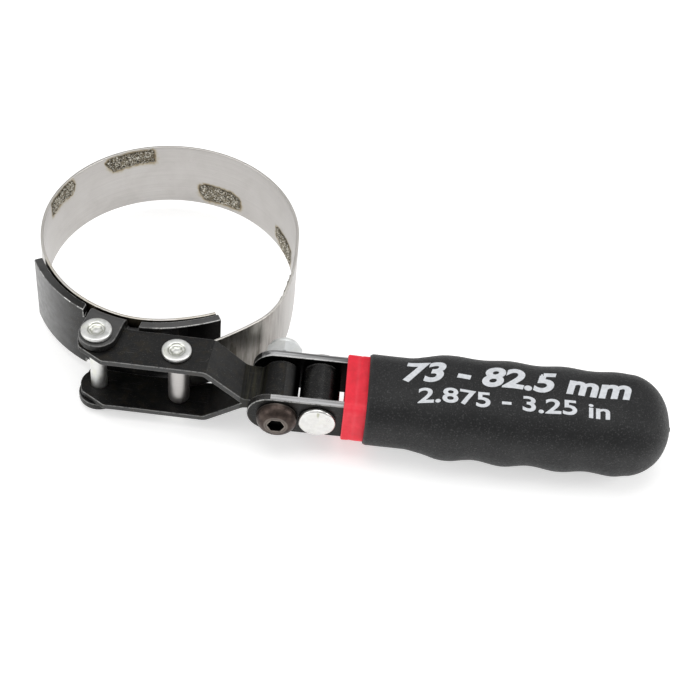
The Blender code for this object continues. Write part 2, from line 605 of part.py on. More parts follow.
# grip: waved outside, closed rounded end with a small nub, socket inside
def grip_half(x):
    """Half width and half height of the grip at x, before the end rounding."""
    w = smooth((x - 81.0) / 11.0)
    wave = GRIP_WAVE * math.cos(2 * math.pi * (x - GRIP_CREST) / GRIP_PITCH) * smooth((x - 84.0) / 8.0) * (1 - smooth((x - 147.0) / 8.0))
    return GRIP_A0 + (GRIP_A1 - GRIP_A0) * w + wave, GRIP_B0 + (GRIP_B1 - GRIP_B0) * w + wave


def super_ring(x, a, b, n=36):
    out = []
    for k in range(n):
        t = 2 * math.pi * k / n
        c, s = math.cos(t), math.sin(t)
        out.append((x, HY + a * math.copysign(abs(c) ** (2 / GRIP_P), c), b * math.copysign(abs(s) ** (2 / GRIP_P), s)))
    return out


rings = []
N_X = 34
x_round = GRIP_X1 - GRIP_END_L
a, b = grip_half(GRIP_X0)
rings.append(super_ring(GRIP_X0, a - 0.4, b - 0.4))
for k in range(N_X + 1):
    x = GRIP_X0 + 0.4 + (x_round - GRIP_X0 - 0.4) * k / N_X
    rings.append(super_ring(x, *grip_half(x)))
a, b = grip_half(x_round)
for ang in (18, 34, 48, 60, 70, 78, 84):
    f = math.cos(math.radians(ang)) ** 0.92
    rings.append(super_ring(x_round + GRIP_END_L * math.sin(math.radians(ang)), a * f, b * f))
rings.append(super_ring(GRIP_X1 - 0.02, 1.1, 1.1))
rings.append(super_ring(GRIP_X1 + GRIP_NUB, 0.9, 0.9))
sock = []
base = rounded_rect(12.0, 8.6, 2.7, 8, HY)
base = base[-4:] + base[:-4]
for x in (158.3, GRIP_X0):
    sock.append([(x, y, z) for y, z in base])
bm = bmesh.new()
vs = [[bm.verts.new(p) for p in ring] for ring in rings]
for i in range(len(vs) - 1):
    for j in range(36):
        k = (j + 1) % 36
        bm.faces.new((vs[i][j], vs[i][k], vs[i + 1][k], vs[i + 1][j]))
bm.faces.new(vs[-1])
ws = [[bm.verts.new(p) for p in ring] for ring in sock]
for j in range(36):
    k = (j + 1) % 36
    bm.faces.new((ws[0][j], ws[0][k], ws[1][k], ws[1][j]))
    bm.faces.new((ws[1][j], ws[1][k], vs[0][k], vs[0][j]))
bm.faces.new(ws[0])
obj("handle_grip", bm, BLACK_VINYL, swivel_axis, 60.0)
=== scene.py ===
import math

import bmesh
import bpy
from mathutils import Matrix, Vector, noise

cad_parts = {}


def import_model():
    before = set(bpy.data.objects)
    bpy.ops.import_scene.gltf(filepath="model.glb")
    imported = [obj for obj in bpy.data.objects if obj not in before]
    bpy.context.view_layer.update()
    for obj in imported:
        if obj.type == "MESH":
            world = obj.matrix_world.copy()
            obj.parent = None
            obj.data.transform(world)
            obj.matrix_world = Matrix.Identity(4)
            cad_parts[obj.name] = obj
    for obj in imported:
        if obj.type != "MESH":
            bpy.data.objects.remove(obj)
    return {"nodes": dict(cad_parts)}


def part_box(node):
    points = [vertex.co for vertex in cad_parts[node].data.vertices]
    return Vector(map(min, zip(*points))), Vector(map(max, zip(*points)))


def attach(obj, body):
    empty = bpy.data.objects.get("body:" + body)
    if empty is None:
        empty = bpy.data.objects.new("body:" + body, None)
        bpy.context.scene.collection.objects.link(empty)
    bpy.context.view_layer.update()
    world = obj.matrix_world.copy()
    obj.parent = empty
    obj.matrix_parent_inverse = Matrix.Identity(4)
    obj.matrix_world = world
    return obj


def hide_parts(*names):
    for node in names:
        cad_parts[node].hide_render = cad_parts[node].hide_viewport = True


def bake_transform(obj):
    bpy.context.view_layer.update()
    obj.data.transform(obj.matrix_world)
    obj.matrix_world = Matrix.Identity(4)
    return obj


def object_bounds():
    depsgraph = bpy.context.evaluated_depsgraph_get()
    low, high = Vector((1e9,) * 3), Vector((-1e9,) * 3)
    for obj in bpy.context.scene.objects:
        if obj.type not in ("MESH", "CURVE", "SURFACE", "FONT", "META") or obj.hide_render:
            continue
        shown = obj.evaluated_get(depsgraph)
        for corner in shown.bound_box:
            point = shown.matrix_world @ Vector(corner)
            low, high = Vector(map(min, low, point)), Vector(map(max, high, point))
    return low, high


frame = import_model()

MM = 0.001
CAD_BOX = [list(c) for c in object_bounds()]


def centre_of(node):
    lo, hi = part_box(node)
    return (lo + hi) / 2


# ---------------------------------------------------------------- frame of the band, from the CAD
# Plan coordinates below are millimetres from the middle of the band's circle.
PIVOT = (-15.6, -50.8)
_c = centre_of("pivot_rivet")
OFF = Vector((_c.x / MM - PIVOT[0], _c.y / MM - PIVOT[1], _c.z / MM))
_t = centre_of("tension_rivet")
TENSION = (_t.x / MM - OFF.x, _t.y / MM - OFF.y)
_s = centre_of("spacer_rivet")
SPACER_X, HY = _s.x / MM - OFF.x, _s.y / MM - OFF.y
_b = centre_of("swivel_bushing")
SWIVEL_X = _b.x / MM - OFF.x


def world(p):
    return (Vector(p) + OFF) * MM


def smooth(t):
    t = min(1.0, max(0.0, t))
    return t * t * (3 - 2 * t)


def polar(r, deg):
    a = math.radians(deg)
    return Vector((r * math.cos(a), r * math.sin(a)))


# ================================================================ materials
class Graph:
    """A Principled material and the few node calls used to build it."""

    def __init__(self, name, rough=0.5, metal=0.0, **sockets):
        self.mat = bpy.data.materials.new(name)
        self.mat.use_nodes = True
        self.tree = self.mat.node_tree
        self.bsdf = self.tree.nodes["Principled BSDF"]
        self.bsdf.inputs["Roughness"].default_value = rough
        self.bsdf.inputs["Metallic"].default_value = metal
        for key, value in sockets.items():
            self.bsdf.inputs[key.replace("_", " ")].default_value = value
        tc = self.tree.nodes.new("ShaderNodeTexCoord")
        self.coord = self.mapped(tc.outputs["Object"], (1000, 1000, 1000))
        self.normal = None

    def new(self, kind):
        return self.tree.nodes.new(kind)

    def link(self, a, b):
        self.tree.links.new(a, b)

    def put(self, socket, value):
        if isinstance(value, bpy.types.NodeSocket):
            self.link(value, socket)
        else:
            socket.default_value = value

    def mapped(self, vector, scale, loc=(0, 0, 0), rot=(0, 0, 0)):
        n = self.new("ShaderNodeMapping")
        n.inputs["Scale"].default_value = scale
        n.inputs["Location"].default_value = loc
        n.inputs["Rotation"].default_value = rot
        self.link(vector, n.inputs["Vector"])
        return n.outputs[0]

    def noise(self, scale, detail=4.0, rough=0.6, dist=0.0, stretch=None, loc=(0, 0, 0)):
        """Scale is in features per millimetre."""
        n = self.new("ShaderNodeTexNoise")
        v = self.coord
        if stretch or loc != (0, 0, 0):
            v = self.mapped(v, stretch or (1, 1, 1), loc)
        self.link(v, n.inputs["Vector"])
        n.inputs["Scale"].default_value = scale
        n.inputs["Detail"].default_value = detail
        n.inputs["Roughness"].default_value = rough
        n.inputs["Distortion"].default_value = dist
        return n.outputs["Fac"]

    def cells(self, scale, feature="F1", stretch=None):
        n = self.new("ShaderNodeTexVoronoi")
        n.feature = feature
        v = self.coord if stretch is None else self.mapped(self.coord, stretch)
        self.link(v, n.inputs["Vector"])
        n.inputs["Scale"].default_value = scale
        return n.outputs["Distance"]

    def attr(self, name):
        n = self.new("ShaderNodeAttribute")
        n.attribute_name = name
        return n.outputs["Fac"]

    def ramp(self, fac, stops):
        n = self.new("ShaderNodeValToRGB")
        r = n.color_ramp
        while len(r.elements) > 1:
            r.elements.remove(r.elements[-1])
        for i, (pos, col) in enumerate(stops):
            e = r.elements[0] if i == 0 else r.elements.new(pos)
            e.position = pos
            if not isinstance(col, tuple):
                col = (col, col, col)
            e.color = (*col, 1)
        self.put(n.inputs["Fac"], fac)
        return n.outputs["Color"]

    def mix(self, fac, a, b, mode="MIX"):
        n = self.new("ShaderNodeMix")
        n.data_type = "RGBA"
        n.blend_type = mode
        n.clamp_factor = True
        self.put(n.inputs[0], fac)
        for i, c in ((6, a), (7, b)):
            self.put(n.inputs[i], (*c, 1) if isinstance(c, tuple) else c)
        return n.outputs[2]

    def math(self, op, a, b=0.0, clamp=False):
        n = self.new("ShaderNodeMath")
        n.operation = op
        n.use_clamp = clamp
        self.put(n.inputs[0], a)
        self.put(n.inputs[1], b)
        return n.outputs[0]

    def span(self, value, lo, hi, a=0.0, b=1.0):
        n = self.new("ShaderNodeMapRange")
        self.put(n.inputs["Value"], value)
        n.inputs["From Min"].default_value = lo
        n.inputs["From Max"].default_value = hi
        n.inputs["To Min"].default_value = a
        n.inputs["To Max"].default_value = b
        return n.outputs["Result"]

    def split(self):
        n = self.new("ShaderNodeSeparateXYZ")
        self.link(self.coord, n.inputs[0])
        return n.outputs

    def bump(self, height, strength, depth_mm):
        n = self.new("ShaderNodeBump")
        n.inputs["Strength"].default_value = strength
        n.inputs["Distance"].default_value = depth_mm * MM
        self.link(height, n.inputs["Height"])
        if self.normal is not None:
            self.link(self.normal, n.inputs["Normal"])
        self.normal = n.outputs["Normal"]

    def done(self, color=None, rough=None, metal=None):
        if color is not None:
            self.link(color, self.bsdf.inputs["Base Color"])
        if rough is not None:
            self.link(rough, self.bsdf.inputs["Roughness"])
        if metal is not None:
            self.link(metal, self.bsdf.inputs["Metallic"])
        if self.normal is not None:
            self.link(self.normal, self.bsdf.inputs["Normal"])
        return self.mat


def make_spring_steel():
    g = Graph("spring_steel_strip", metal=1.0)
    cloud = g.noise(0.09, 5, 0.6, 0.4)
    lines = g.noise(1.0, 3, 0.65, stretch=(0.05, 0.05, 5.5))
    grain = g.noise(6.0, 3, 0.7)
    base = g.ramp(cloud, [(0.3, (0.445, 0.428, 0.412)), (0.5, (0.488, 0.470, 0.455)), (0.72, (0.525, 0.508, 0.494))])
    base = g.mix(0.13, base, g.ramp(lines, [(0.35, 0.36), (0.65, 0.80)]), "OVERLAY")
    # This layer carries the straw weld tint round the pads and along the welded edge, and painted shade: the strip's
    # outer face behind the bracket takes the ramp's darkest end.
    heat_and_shade = g.attr("burn_and_shade")
    rag = g.math("ADD", heat_and_shade, g.math("MULTIPLY", g.math("SUBTRACT", g.noise(0.7, 4, 0.65), 0.5), 0.55), True)
    rag = g.math("MULTIPLY", rag, g.span(heat_and_shade, 0.0, 0.12))
    tint = g.ramp(rag, [(0.10, (1.0, 1.0, 1.0)), (0.30, (0.90, 0.855, 0.73)), (0.50, (0.64, 0.56, 0.41)), (0.72, (0.34, 0.29, 0.205)), (1.0, (0.10, 0.088, 0.065))])
    base = g.mix(1.0, base, tint, "MULTIPLY")
    specks = g.ramp(g.noise(2.2, 2, 0.5, loc=(13, 4, 7)), [(0.70, 1.0), (0.80, 0.55)])
    base = g.mix(0.7, base, specks, "MULTIPLY")
    # The shade layer multiplies streaks into the free tail's outside: streaking and a painted reflection of the black
    # yoke beside it.
    bars = g.ramp(g.noise(0.42, 4, 0.6, 0.3, stretch=(1.0, 1.0, 0.10), loc=(3, 8, 1)), [(0.36, (0.20, 0.185, 0.155)), (0.60, (0.66, 0.65, 0.62))])
    base = g.mix(g.attr("shade"), base, bars, "MULTIPLY")
    # The wear layer lightens the strip's rounded edges: edge wear, and a painted highlight along the top and bottom
    # edges.
    wear = g.attr("wear")
    base = g.mix(g.math("MULTIPLY", wear, 0.70), base, (0.90, 0.87, 0.81))
    rough = g.span(g.math("ADD", g.math("MULTIPLY", cloud, 0.6), g.math("MULTIPLY", lines, 0.4)), 0.3, 0.7, 0.30, 0.44)
    rough = g.math("ADD", rough, g.math("MULTIPLY", rag, 0.18))
    g.bump(lines, 0.25, 0.02)
    g.bump(grain, 0.35, 0.012)
    return g.done(base, rough)


def make_black_steel(name, dark, mid, brown, rough_lo, rough_hi, wear_amount, metal=0.35, bare_and_lit_mix=0.6, level=0.3, bare_and_lit_tone=(0.40, 0.40, 0.40), lines=False):
    g = Graph(name, metal=metal, Specular_IOR_Level=level)
    cloud = g.noise(0.16, 5, 0.62, 0.5)
    blotch = g.noise(0.45, 4, 0.6, 0.3, loc=(31, 7, 3))
    grain = g.noise(5.0, 3, 0.7)
    base = g.ramp(cloud, [(0.34, dark), (0.66, mid)])
    base = g.mix(g.ramp(blotch, [(0.50, 0.0), (0.68, 0.75)]), base, brown)
    # Flagged faces, mostly top faces, are mixed towards the bare tone: partly bare steel, partly painted light.
    bare_and_lit_face = g.attr("bare_and_lit_face")
    bare = g.math("MULTIPLY", g.attr("bare"), g.math("SUBTRACT", 1.0, bare_and_lit_face), True)
    bare = g.math("ADD", bare, g.math("MULTIPLY", bare_and_lit_face, bare_and_lit_mix), True)
    if lines:
        streak = g.ramp(g.noise(1.0, 2, 0.5, 0.1, loc=(21, 2, 2), stretch=(0.035, 0.95, 0.95)), [(0.40, 0.20), (0.60, 1.0)])
    else:
        streak = g.ramp(g.noise(0.35, 3, 0.55, loc=(21, 2, 2), stretch=(0.3, 1.0, 1.0)), [(0.30, 0.70), (0.65, 1.0)])
    bare = g.math("MULTIPLY", bare, streak, True)
    base = g.mix(bare, base, bare_and_lit_tone)
    bars = g.ramp(g.noise(1.0, 3, 0.6, 0.2, stretch=(1.5, 0.06, 0.06)), [(0.40, 0.0), (0.62, 1.0)])
    base = g.mix(g.math("MULTIPLY", g.math("MULTIPLY", bars, g.attr("neck")), 0.9), base, (0.050, 0.048, 0.030))
    base = g.mix(g.ramp(g.noise(3.2, 2, 0.5, loc=(5, 17, 2)), [(0.64, 0.0), (0.71, 0.6)]), base, (0.15, 0.145, 0.13))
    scratch = g.noise(1.0, 2, 0.5, 0.25, stretch=(0.22, 4.2, 0.9))
    base = g.mix(g.ramp(scratch, [(0.65, 0.0), (0.73, 0.4)]), base, (0.12, 0.12, 0.117))
    # Rounded edges are lightened: edge wear, and on the yoke and strap a painted highlight along the edges.
    wear = g.math("MAXIMUM", g.attr("wear"), g.attr("rim"))
    chips = g.ramp(g.noise(0.9, 5, 0.75, 0.4, loc=(3, 3, 9)), [(0.38, 0.25), (0.54, 1.0)])
    worn_and_lit_edge = g.math("MULTIPLY", g.math("MULTIPLY", wear, chips), wear_amount * 0.85, True)
    base = g.mix(worn_and_lit_edge, base, (0.80, 0.80, 0.78))
    rough = g.span(blotch, 0.3, 0.7, rough_lo, rough_hi)
    metal_v = g.math("ADD", g.math("ADD", g.math("MULTIPLY", worn_and_lit_edge, 0.35), g.math("MULTIPLY", bare, 0.6)), metal, True)
    # Painted shade: the two layers read here paint the cross tubes' sides, the strap legs' inner faces, the short
    # wing's outer face, the long wing's top and the yoke's neck towards black and more metallic.
    painted_shade = g.math("MAXIMUM", g.attr("painted_flank_shade"), g.attr("painted_shade_face"))
    base = g.mix(painted_shade, base, (0.0012, 0.0012, 0.0013))
    metal_v = g.math("ADD", metal_v, g.math("MULTIPLY", painted_shade, 0.65), True)
    g.bump(blotch, 0.25, 0.03)
    g.bump(grain, 0.4, 0.012)
    return g.done(base, rough, metal_v)


def make_zinc(name, hi, lo, tint, rough_lo, rough_hi, metal=1.0):
    g = Graph(name, metal=metal)
    cloud = g.noise(0.5, 5, 0.6, 0.3)
    grain = g.noise(5.5, 3, 0.7)
    base = g.ramp(cloud, [(0.32, lo), (0.62, hi)])
    base = g.mix(g.ramp(g.noise(0.33, 3, 0.5, 0.5, loc=(8, 1, 4)), [(0.48, 0.0), (0.70, 0.55)]), base, tint)
    # The shade layer paints shade into rivet recesses and the nut's bore, with some of the recess's own tint, and marks
    # the dark tick on the spacer pin's head.
    base = g.mix(g.math("MULTIPLY", g.attr("shade"), 0.75), base, (0.36, 0.37, 0.27))
    base = g.mix(g.math("MULTIPLY", g.attr("wear"), 0.6), base, (0.96, 0.96, 0.94))
    pits = g.ramp(g.noise(2.5, 2, 0.5, loc=(2, 9, 5)), [(0.72, 1.0), (0.80, 0.55)])
    base = g.mix(0.6, base, pits, "MULTIPLY")
    rough = g.span(cloud, 0.3, 0.7, rough_lo, rough_hi)
    g.bump(cloud, 0.12, 0.02)
    g.bump(grain, 0.25, 0.006)
    return g.done(base, rough)


def make_screw():
    g = Graph("black_oxide", metal=0.85)
    cloud = g.noise(0.35, 5, 0.6, 0.3)
    base = g.ramp(cloud, [(0.32, (0.030, 0.022, 0.020)), (0.5, (0.055, 0.040, 0.034)), (0.7, (0.092, 0.070, 0.060))])
    base = g.mix(g.math("MULTIPLY", g.attr("wear"), 0.5), base, (0.42, 0.38, 0.34))
    # Painted shade: the shade layer paints the hex socket near black.
    base = g.mix(g.attr("shade"), base, (0.004, 0.004, 0.004))
    rough = g.span(g.noise(1.2, 4, 0.6), 0.3, 0.7, 0.30, 0.46)
    g.bump(g.noise(4.0, 3, 0.7), 0.4, 0.015)
    return g.done(base, rough)


def make_grit():
    g = Graph("weld_grit", metal=0.25)
    cells = g.cells(1.1)
    cloud = g.noise(0.9, 5, 0.7, 0.5)
    base = g.ramp(cloud, [(0.30, (0.050, 0.040, 0.026)), (0.46, (0.15, 0.125, 0.080)), (0.60, (0.26, 0.225, 0.155)), (0.76, (0.42, 0.385, 0.30))])
    base = g.mix(g.ramp(g.noise(1.7, 3, 0.65, 0.5), [(0.52, 0.0), (0.58, 0.95)]), base, (0.86, 0.83, 0.74))
    base = g.mix(g.ramp(g.noise(1.5, 3, 0.65, 0.5, loc=(9, 2, 2)), [(0.53, 0.0), (0.60, 0.94)]), base, (0.012, 0.011, 0.007))
    base = g.mix(g.math("MULTIPLY", g.attr("burn_and_shade"), 0.72), base, (0.050, 0.043, 0.027))
    rough = g.span(cloud, 0.3, 0.7, 0.85, 0.5)
    g.bump(cells, 0.7, 0.18)
    g.bump(g.noise(3.8, 4, 0.7), 0.8, 0.10)
    return g.done(base, rough)


def make_red():
    g = Graph("red_dipped_vinyl", Specular_IOR_Level=0.4, Coat_Weight=0.06, Coat_Roughness=0.4)
    cloud = g.noise(0.22, 4, 0.55, 0.3)
    base = g.ramp(cloud, [(0.32, (0.76, 0.010, 0.030)), (0.55, (0.90, 0.016, 0.042)), (0.75, (0.96, 0.030, 0.058))])
    # The wear layer lightens worn spots and the painted highlight along the near top corner.
    base = g.mix(g.math("MULTIPLY", g.attr("wear"), 0.35), base, (0.96, 0.14, 0.17))
    base = g.mix(g.ramp(g.noise(2.6, 2, 0.5, loc=(4, 4, 1)), [(0.68, 0.0), (0.76, 0.35)]), base, (0.50, 0.010, 0.022))
    rough = g.span(g.noise(1.4, 4, 0.6), 0.3, 0.7, 0.42, 0.58)
    g.bump(g.noise(0.8, 3, 0.6), 0.3, 0.05)
    g.bump(g.noise(4.2, 3, 0.65), 0.5, 0.03)
    return g.done(base, rough)


def make_grip():
    g = Graph("black_dipped_vinyl", Specular_IOR_Level=0.30, Sheen_Weight=0.04, Sheen_Roughness=0.5)
    cloud = g.noise(0.12, 4, 0.6, 0.4)
    base = g.ramp(cloud, [(0.30, (0.0065, 0.0068, 0.0072)), (0.55, (0.0105, 0.0109, 0.0115)), (0.78, (0.0160, 0.0163, 0.0168))])
    base = g.mix(g.ramp(g.noise(2.0, 3, 0.6, loc=(6, 3, 8)), [(0.55, 0.0), (0.68, 0.7)]), base, (0.060, 0.060, 0.061))
    base = g.mix(g.math("MULTIPLY", g.attr("wear"), 0.5), base, (0.040, 0.040, 0.041))
    rough = g.span(g.noise(0.9, 4, 0.65), 0.3, 0.7, 0.44, 0.62)
    pebble = g.cells(2.3, "SMOOTH_F1")
    g.bump(pebble, 0.5, 0.07)
    g.bump(g.noise(1.5, 5, 0.7), 0.75, 0.14)
    return g.done(base, rough)


def make_nylon():
    g = Graph("nylon_ring", Subsurface_Weight=0.1)
    cloud = g.noise(0.8, 4, 0.6)
    base = g.ramp(cloud, [(0.35, (0.66, 0.69, 0.70)), (0.65, (0.80, 0.82, 0.82))])
    g.bump(g.noise(3.5, 3, 0.6), 0.4, 0.02)
    return g.done(base, g.span(cloud, 0.3, 0.7, 0.35, 0.5))


def make_print():
    g = Graph("white_ink", metal=0.0)
    cloud = g.noise(0.8, 4, 0.65)
    base = g.ramp(cloud, [(0.3, (0.58, 0.60, 0.63)), (0.6, (0.72, 0.74, 0.77))])
    base = g.mix(g.ramp(g.noise(3.0, 3, 0.6), [(0.66, 0.0), (0.76, 0.45)]), base, (0.42, 0.42, 0.42))
    g.bump(g.noise(3.4, 4, 0.65), 0.4, 0.03)
    return g.done(base, g.span(cloud, 0.3, 0.7, 0.5, 0.7))


def make_floor():
    g = Graph("studio_floor", rough=0.9)
    base = g.ramp(g.noise(0.004, 3, 0.5), [(0.3, (0.76, 0.76, 0.755)), (0.7, (0.80, 0.80, 0.795))])
    g.bsdf.inputs["Emission Color"].default_value = (1, 1, 1, 1)
    g.bsdf.inputs["Emission Strength"].default_value = 0.52
    return g.done(base)


STRIP = make_spring_steel()
YOKE_M = make_black_steel("black_steel_yoke", (0.0060, 0.0062, 0.0068), (0.014, 0.0138, 0.0135), (0.022, 0.0175, 0.011), 0.34, 0.50, 0.42, 0.3, 0.14)
SHOE_M = make_black_steel("black_steel_shoe", (0.0085, 0.0085, 0.0092), (0.020, 0.0198, 0.0195), (0.024, 0.020, 0.015), 0.30, 0.44, 0.30, 0.35, 0.22)
STRAP_M = make_black_steel("black_steel_strap", (0.0080, 0.0080, 0.0085), (0.018, 0.0178, 0.0175), (0.022, 0.019, 0.015), 0.34, 0.48, 0.75, 0.35, 0.95, 0.3, (0.88, 0.88, 0.89), True)
TUBE_M = make_black_steel("black_steel_tube", (0.0020, 0.0020, 0.0023), (0.0050, 0.0050, 0.0050), (0.0070, 0.0062, 0.0048), 0.22, 0.32, 0.35, 0.2, 0.0, 0.5)
ZINC = make_zinc("bright_zinc", (0.80, 0.80, 0.785), (0.69, 0.70, 0.68), (0.76, 0.77, 0.66), 0.34, 0.46)
ZINC_NUT = make_zinc("pale_zinc", (0.90, 0.92, 0.92), (0.80, 0.82, 0.82), (0.84, 0.86, 0.82), 0.28, 0.40, 0.45)
ZINC_PIN = make_zinc("zinc_flat_head", (0.74, 0.74, 0.725), (0.64, 0.64, 0.625), (0.68, 0.68, 0.62), 0.26, 0.38)
SCREW = make_screw()
GRIT = make_grit()
RED = make_red()
GRIP = make_grip()
NYLON = make_nylon()
INK = make_print()


# ================================================================ mesh helpers
def mark_rim(bm, rounded, rub=None):
    """The middle of each rounded edge is marked most, its sides a little: edge wear, and on the yoke and strap a
    painted highlight.
    """
    bm.faces.index_update()
    marked = {f.index for f in rounded if f.is_valid}
    layer = bm.faces.layers.float.new("rim")
    bm.faces.ensure_lookup_table()
    for i in marked:
        f = bm.faces[i]
        area = f.calc_area()
        outside = any(g.index not in marked and g.calc_area() > area for e in f.edges for g in e.link_faces if g is not f)
        f[layer] = (0.45 if outside else 1.0) * (1.0 if rub is None else rub(f.calc_center_median() / MM - OFF))


def to_object(name, bm, mat, body=None, sharp=None, weighted=False, world_space=False):
    if not world_space:
        for v in bm.verts:
            v.co = world(v.co)
    bmesh.ops.recalc_face_normals(bm, faces=bm.faces)
    for layer in ("wear", "burn_and_shade", "shade", "bare", "painted_flank_shade"):
        if bm.verts.layers.float.get(layer) is None:
            bm.verts.layers.float.new(layer)
    for layer in ("bare_and_lit_face", "rim", "neck", "painted_shade_face"):
        if bm.faces.layers.float.get(layer) is None:
            bm.faces.layers.float.new(layer)
    me = bpy.data.meshes.new(name)
    bm.to_mesh(me)
    bm.free()
    me.shade_smooth()
    if sharp is not None:
        me.set_sharp_from_angle(angle=math.radians(sharp))
    me.materials.append(mat)
    ob = bpy.data.objects.new(name, me)
    bpy.context.scene.collection.objects.link(ob)
    if weighted:
        mod = ob.modifiers.new("normals", "WEIGHTED_NORMAL")
        mod.weight = 60
        mod.keep_sharp = True
    if body is not None:
        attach(ob, body)
    return ob


def rounded_copy(name, node, width, mat, body, angle=32.0, segments=3, bare=None, bare_and_lit_face=None, neck=None, painted_flank_shade=None, painted_shade_face=None, rub=None):
    """The CAD node's shape with every hard edge rounded."""
    bm = bmesh.new()
    bm.from_mesh(frame["nodes"][node].data)
    bmesh.ops.remove_doubles(bm, verts=bm.verts, dist=1.2e-5)
    bmesh.ops.dissolve_limit(bm, angle_limit=math.radians(1.2), verts=bm.verts, edges=bm.edges)
    bmesh.ops.remove_doubles(bm, verts=bm.verts, dist=2.0e-4)
    bmesh.ops.dissolve_degenerate(bm, edges=bm.edges, dist=1e-5)
    bmesh.ops.recalc_face_normals(bm, faces=bm.faces)
    axes = [world((*p, 0)).xy for p in (PIVOT, TENSION)]
    edges = [e for e in bm.edges if len(e.link_faces) == 2 and e.calc_face_angle(0.0) > math.radians(angle)
             and not any(all((v.co.xy - c).length < 3.5 * MM for v in e.verts) for c in axes)]
    res = bmesh.ops.bevel(bm, geom=edges, offset=width * MM, offset_type="OFFSET", segments=segments, profile=0.5, affect="EDGES", clamp_overlap=False)
    mark_rim(bm, res["faces"], rub)
    if bare is not None:
        layer = bm.verts.layers.float.new("bare")
        for v in bm.verts:
            v[layer] = bare(v.co / MM - OFF)
    if painted_flank_shade is not None:
        layer = bm.verts.layers.float.new("painted_flank_shade")
        for v in bm.verts:
            v[layer] = painted_flank_shade(v.co / MM - OFF)
    if painted_shade_face is not None:
        layer = bm.faces.layers.float.new("painted_shade_face")
        bm.normal_update()
        for f in bm.faces:
            f[layer] = painted_shade_face(f.calc_center_median() / MM - OFF, f.normal)
    if neck is not None:
        layer = bm.faces.layers.float.new("neck")
        for f in bm.faces:
            f[layer] = neck(f.calc_center_median() / MM - OFF)
    if bare_and_lit_face is not None:
        layer = bm.faces.layers.float.new("bare_and_lit_face")
        bm.normal_update()
        for f in bm.faces:
            f[layer] = bare_and_lit_face(f.calc_center_median() / MM - OFF, f.normal)
    ob = to_object(name, bm, mat, body, sharp=38.0, weighted=True, world_space=True)
    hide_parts(node)
    return ob


def lathe(profile, centre, axis="Z", steps=72):
    """Turned body. Profile rows are (radius or radius(angle), height[, wear[, shade]])."""
    bm = bmesh.new()
    wear = bm.verts.layers.float.new("wear")
    shade = bm.verts.layers.float.new("shade")
    rings = []
    for row in profile:
        r, h = row[0], row[1]
        count = 1 if r == 0 else steps
        ring = []
        for k in range(count):
            a = 2 * math.pi * k / steps
            rr = r(a) if callable(r) else r
            c, s = rr * math.cos(a), rr * math.sin(a)
            if axis == "Z":
                p = (centre[0] + c, centre[1] + s, h)
            else:
                p = (centre[0] + c, h, centre[1] + s)
            v = bm.verts.new(p)
            v[wear] = row[2] if len(row) > 2 else 0.0
            v[shade] = row[3] if len(row) > 3 else 0.0
            ring.append(v)
        rings.append(ring)
    pairs = list(zip(rings[:-1], rings[1:]))
    if len(rings[0]) > 1:
        pairs.append((rings[-1], rings[0]))
    for a, b in pairs:
        for k in range(steps):
            m = (k + 1) % steps
            if len(a) == 1:
                bm.faces.new((a[0], b[m], b[k]))
            elif len(b) == 1:
                bm.faces.new((a[k], a[m], b[0]))
            else:
                bm.faces.new((a[k], a[m], b[m], b[k]))
    return bm


def corner(r0, h0, r1, h1, r2, h2, radius, n=3, wear=0.0):
    """Rounded corner of a profile at (r1, h1) between its two neighbours."""
    p0, p1, p2 = Vector((r0, h0)), Vector((r1, h1)), Vector((r2, h2))
    a, b = (p0 - p1).normalized(), (p2 - p1).normalized()
    half = math.acos(max(-1, min(1, a.dot(b)))) / 2
    d = min(radius / math.tan(half), (p0 - p1).length * 0.48, (p2 - p1).length * 0.48)
    rad = d * math.tan(half)
    mid = (a + b).normalized()
    c = p1 + mid * (rad / math.sin(half))
    s, e = p1 + a * d, p1 + b * d
    out = []
    for k in range(n + 1):
        t = k / n
        v = ((s - c) * (1 - t) + (e - c) * t)
        v = c + v.normalized() * rad
        out.append((v.x, v.y, wear if 0 < k < n else 0.0))
    return out


def rounded_profile(rows, n=3):
    """Rows (radius, height, rounding, wear) with each inner corner rounded."""
    out = []
    for i, row in enumerate(rows):
        r, h = row[0], row[1]
        rad = row[2] if len(row) > 2 else 0.0
        w = row[3] if len(row) > 3 else 0.0
        if rad and 0 < i < len(rows) - 1:
            p, q = rows[i - 1], rows[i + 1]
            out += corner(p[0], p[1], r, h, q[0], q[1], rad, n, w)
        else:
            out.append((r, h, 0.0))
    return out


def hex_radius(af, turn=0.0):
    def f(a):
        t = (a - math.radians(turn)) % (math.pi / 3)
        return af / 2 / math.cos(t - math.pi / 6)
    return f


# ================================================================ band
BAND_R, BAND_T, BAND_H = 42.2, 0.9, 24.6
HINGES = (183.0, 139.0, 95.5, 50.5, 6.0)
ANCHOR_END, TAIL_START = 298.0, 2.0
TAIL_H = 16.6
EYE = Vector(TENSION) + Vector((0.7, -0.3))
EYE_IR, EYE_OR = 2.55, 3.3


def loop_radius(deg):
    d = deg % 360
    if d < 180 or d > 330:
        return BAND_R
    return BAND_R + 0.3 * smooth((d - 185.0) / 20.0) - 1.4 * smooth((d - 255.0) / 35.0)


T_DIR = polar(1.0, -150.0)
T0 = polar(BAND_R - BAND_T / 2, TAIL_START)
T3 = EYE + Vector((T_DIR.y, -T_DIR.x)) * 3.025
T1, T2 = Vector((43.44, -43.51)), Vector((27.52, -39.22))


def tail_point(t):
    u = 1 - t
    return T0 * u ** 3 + T1 * 3 * u * u * t + T2 * 3 * u * t * t + T3 * t ** 3


def tail_dir(t):
    return (tail_point(min(1.0, t + 1e-3)) - tail_point(max(0.0, t - 1e-3))).normalized()


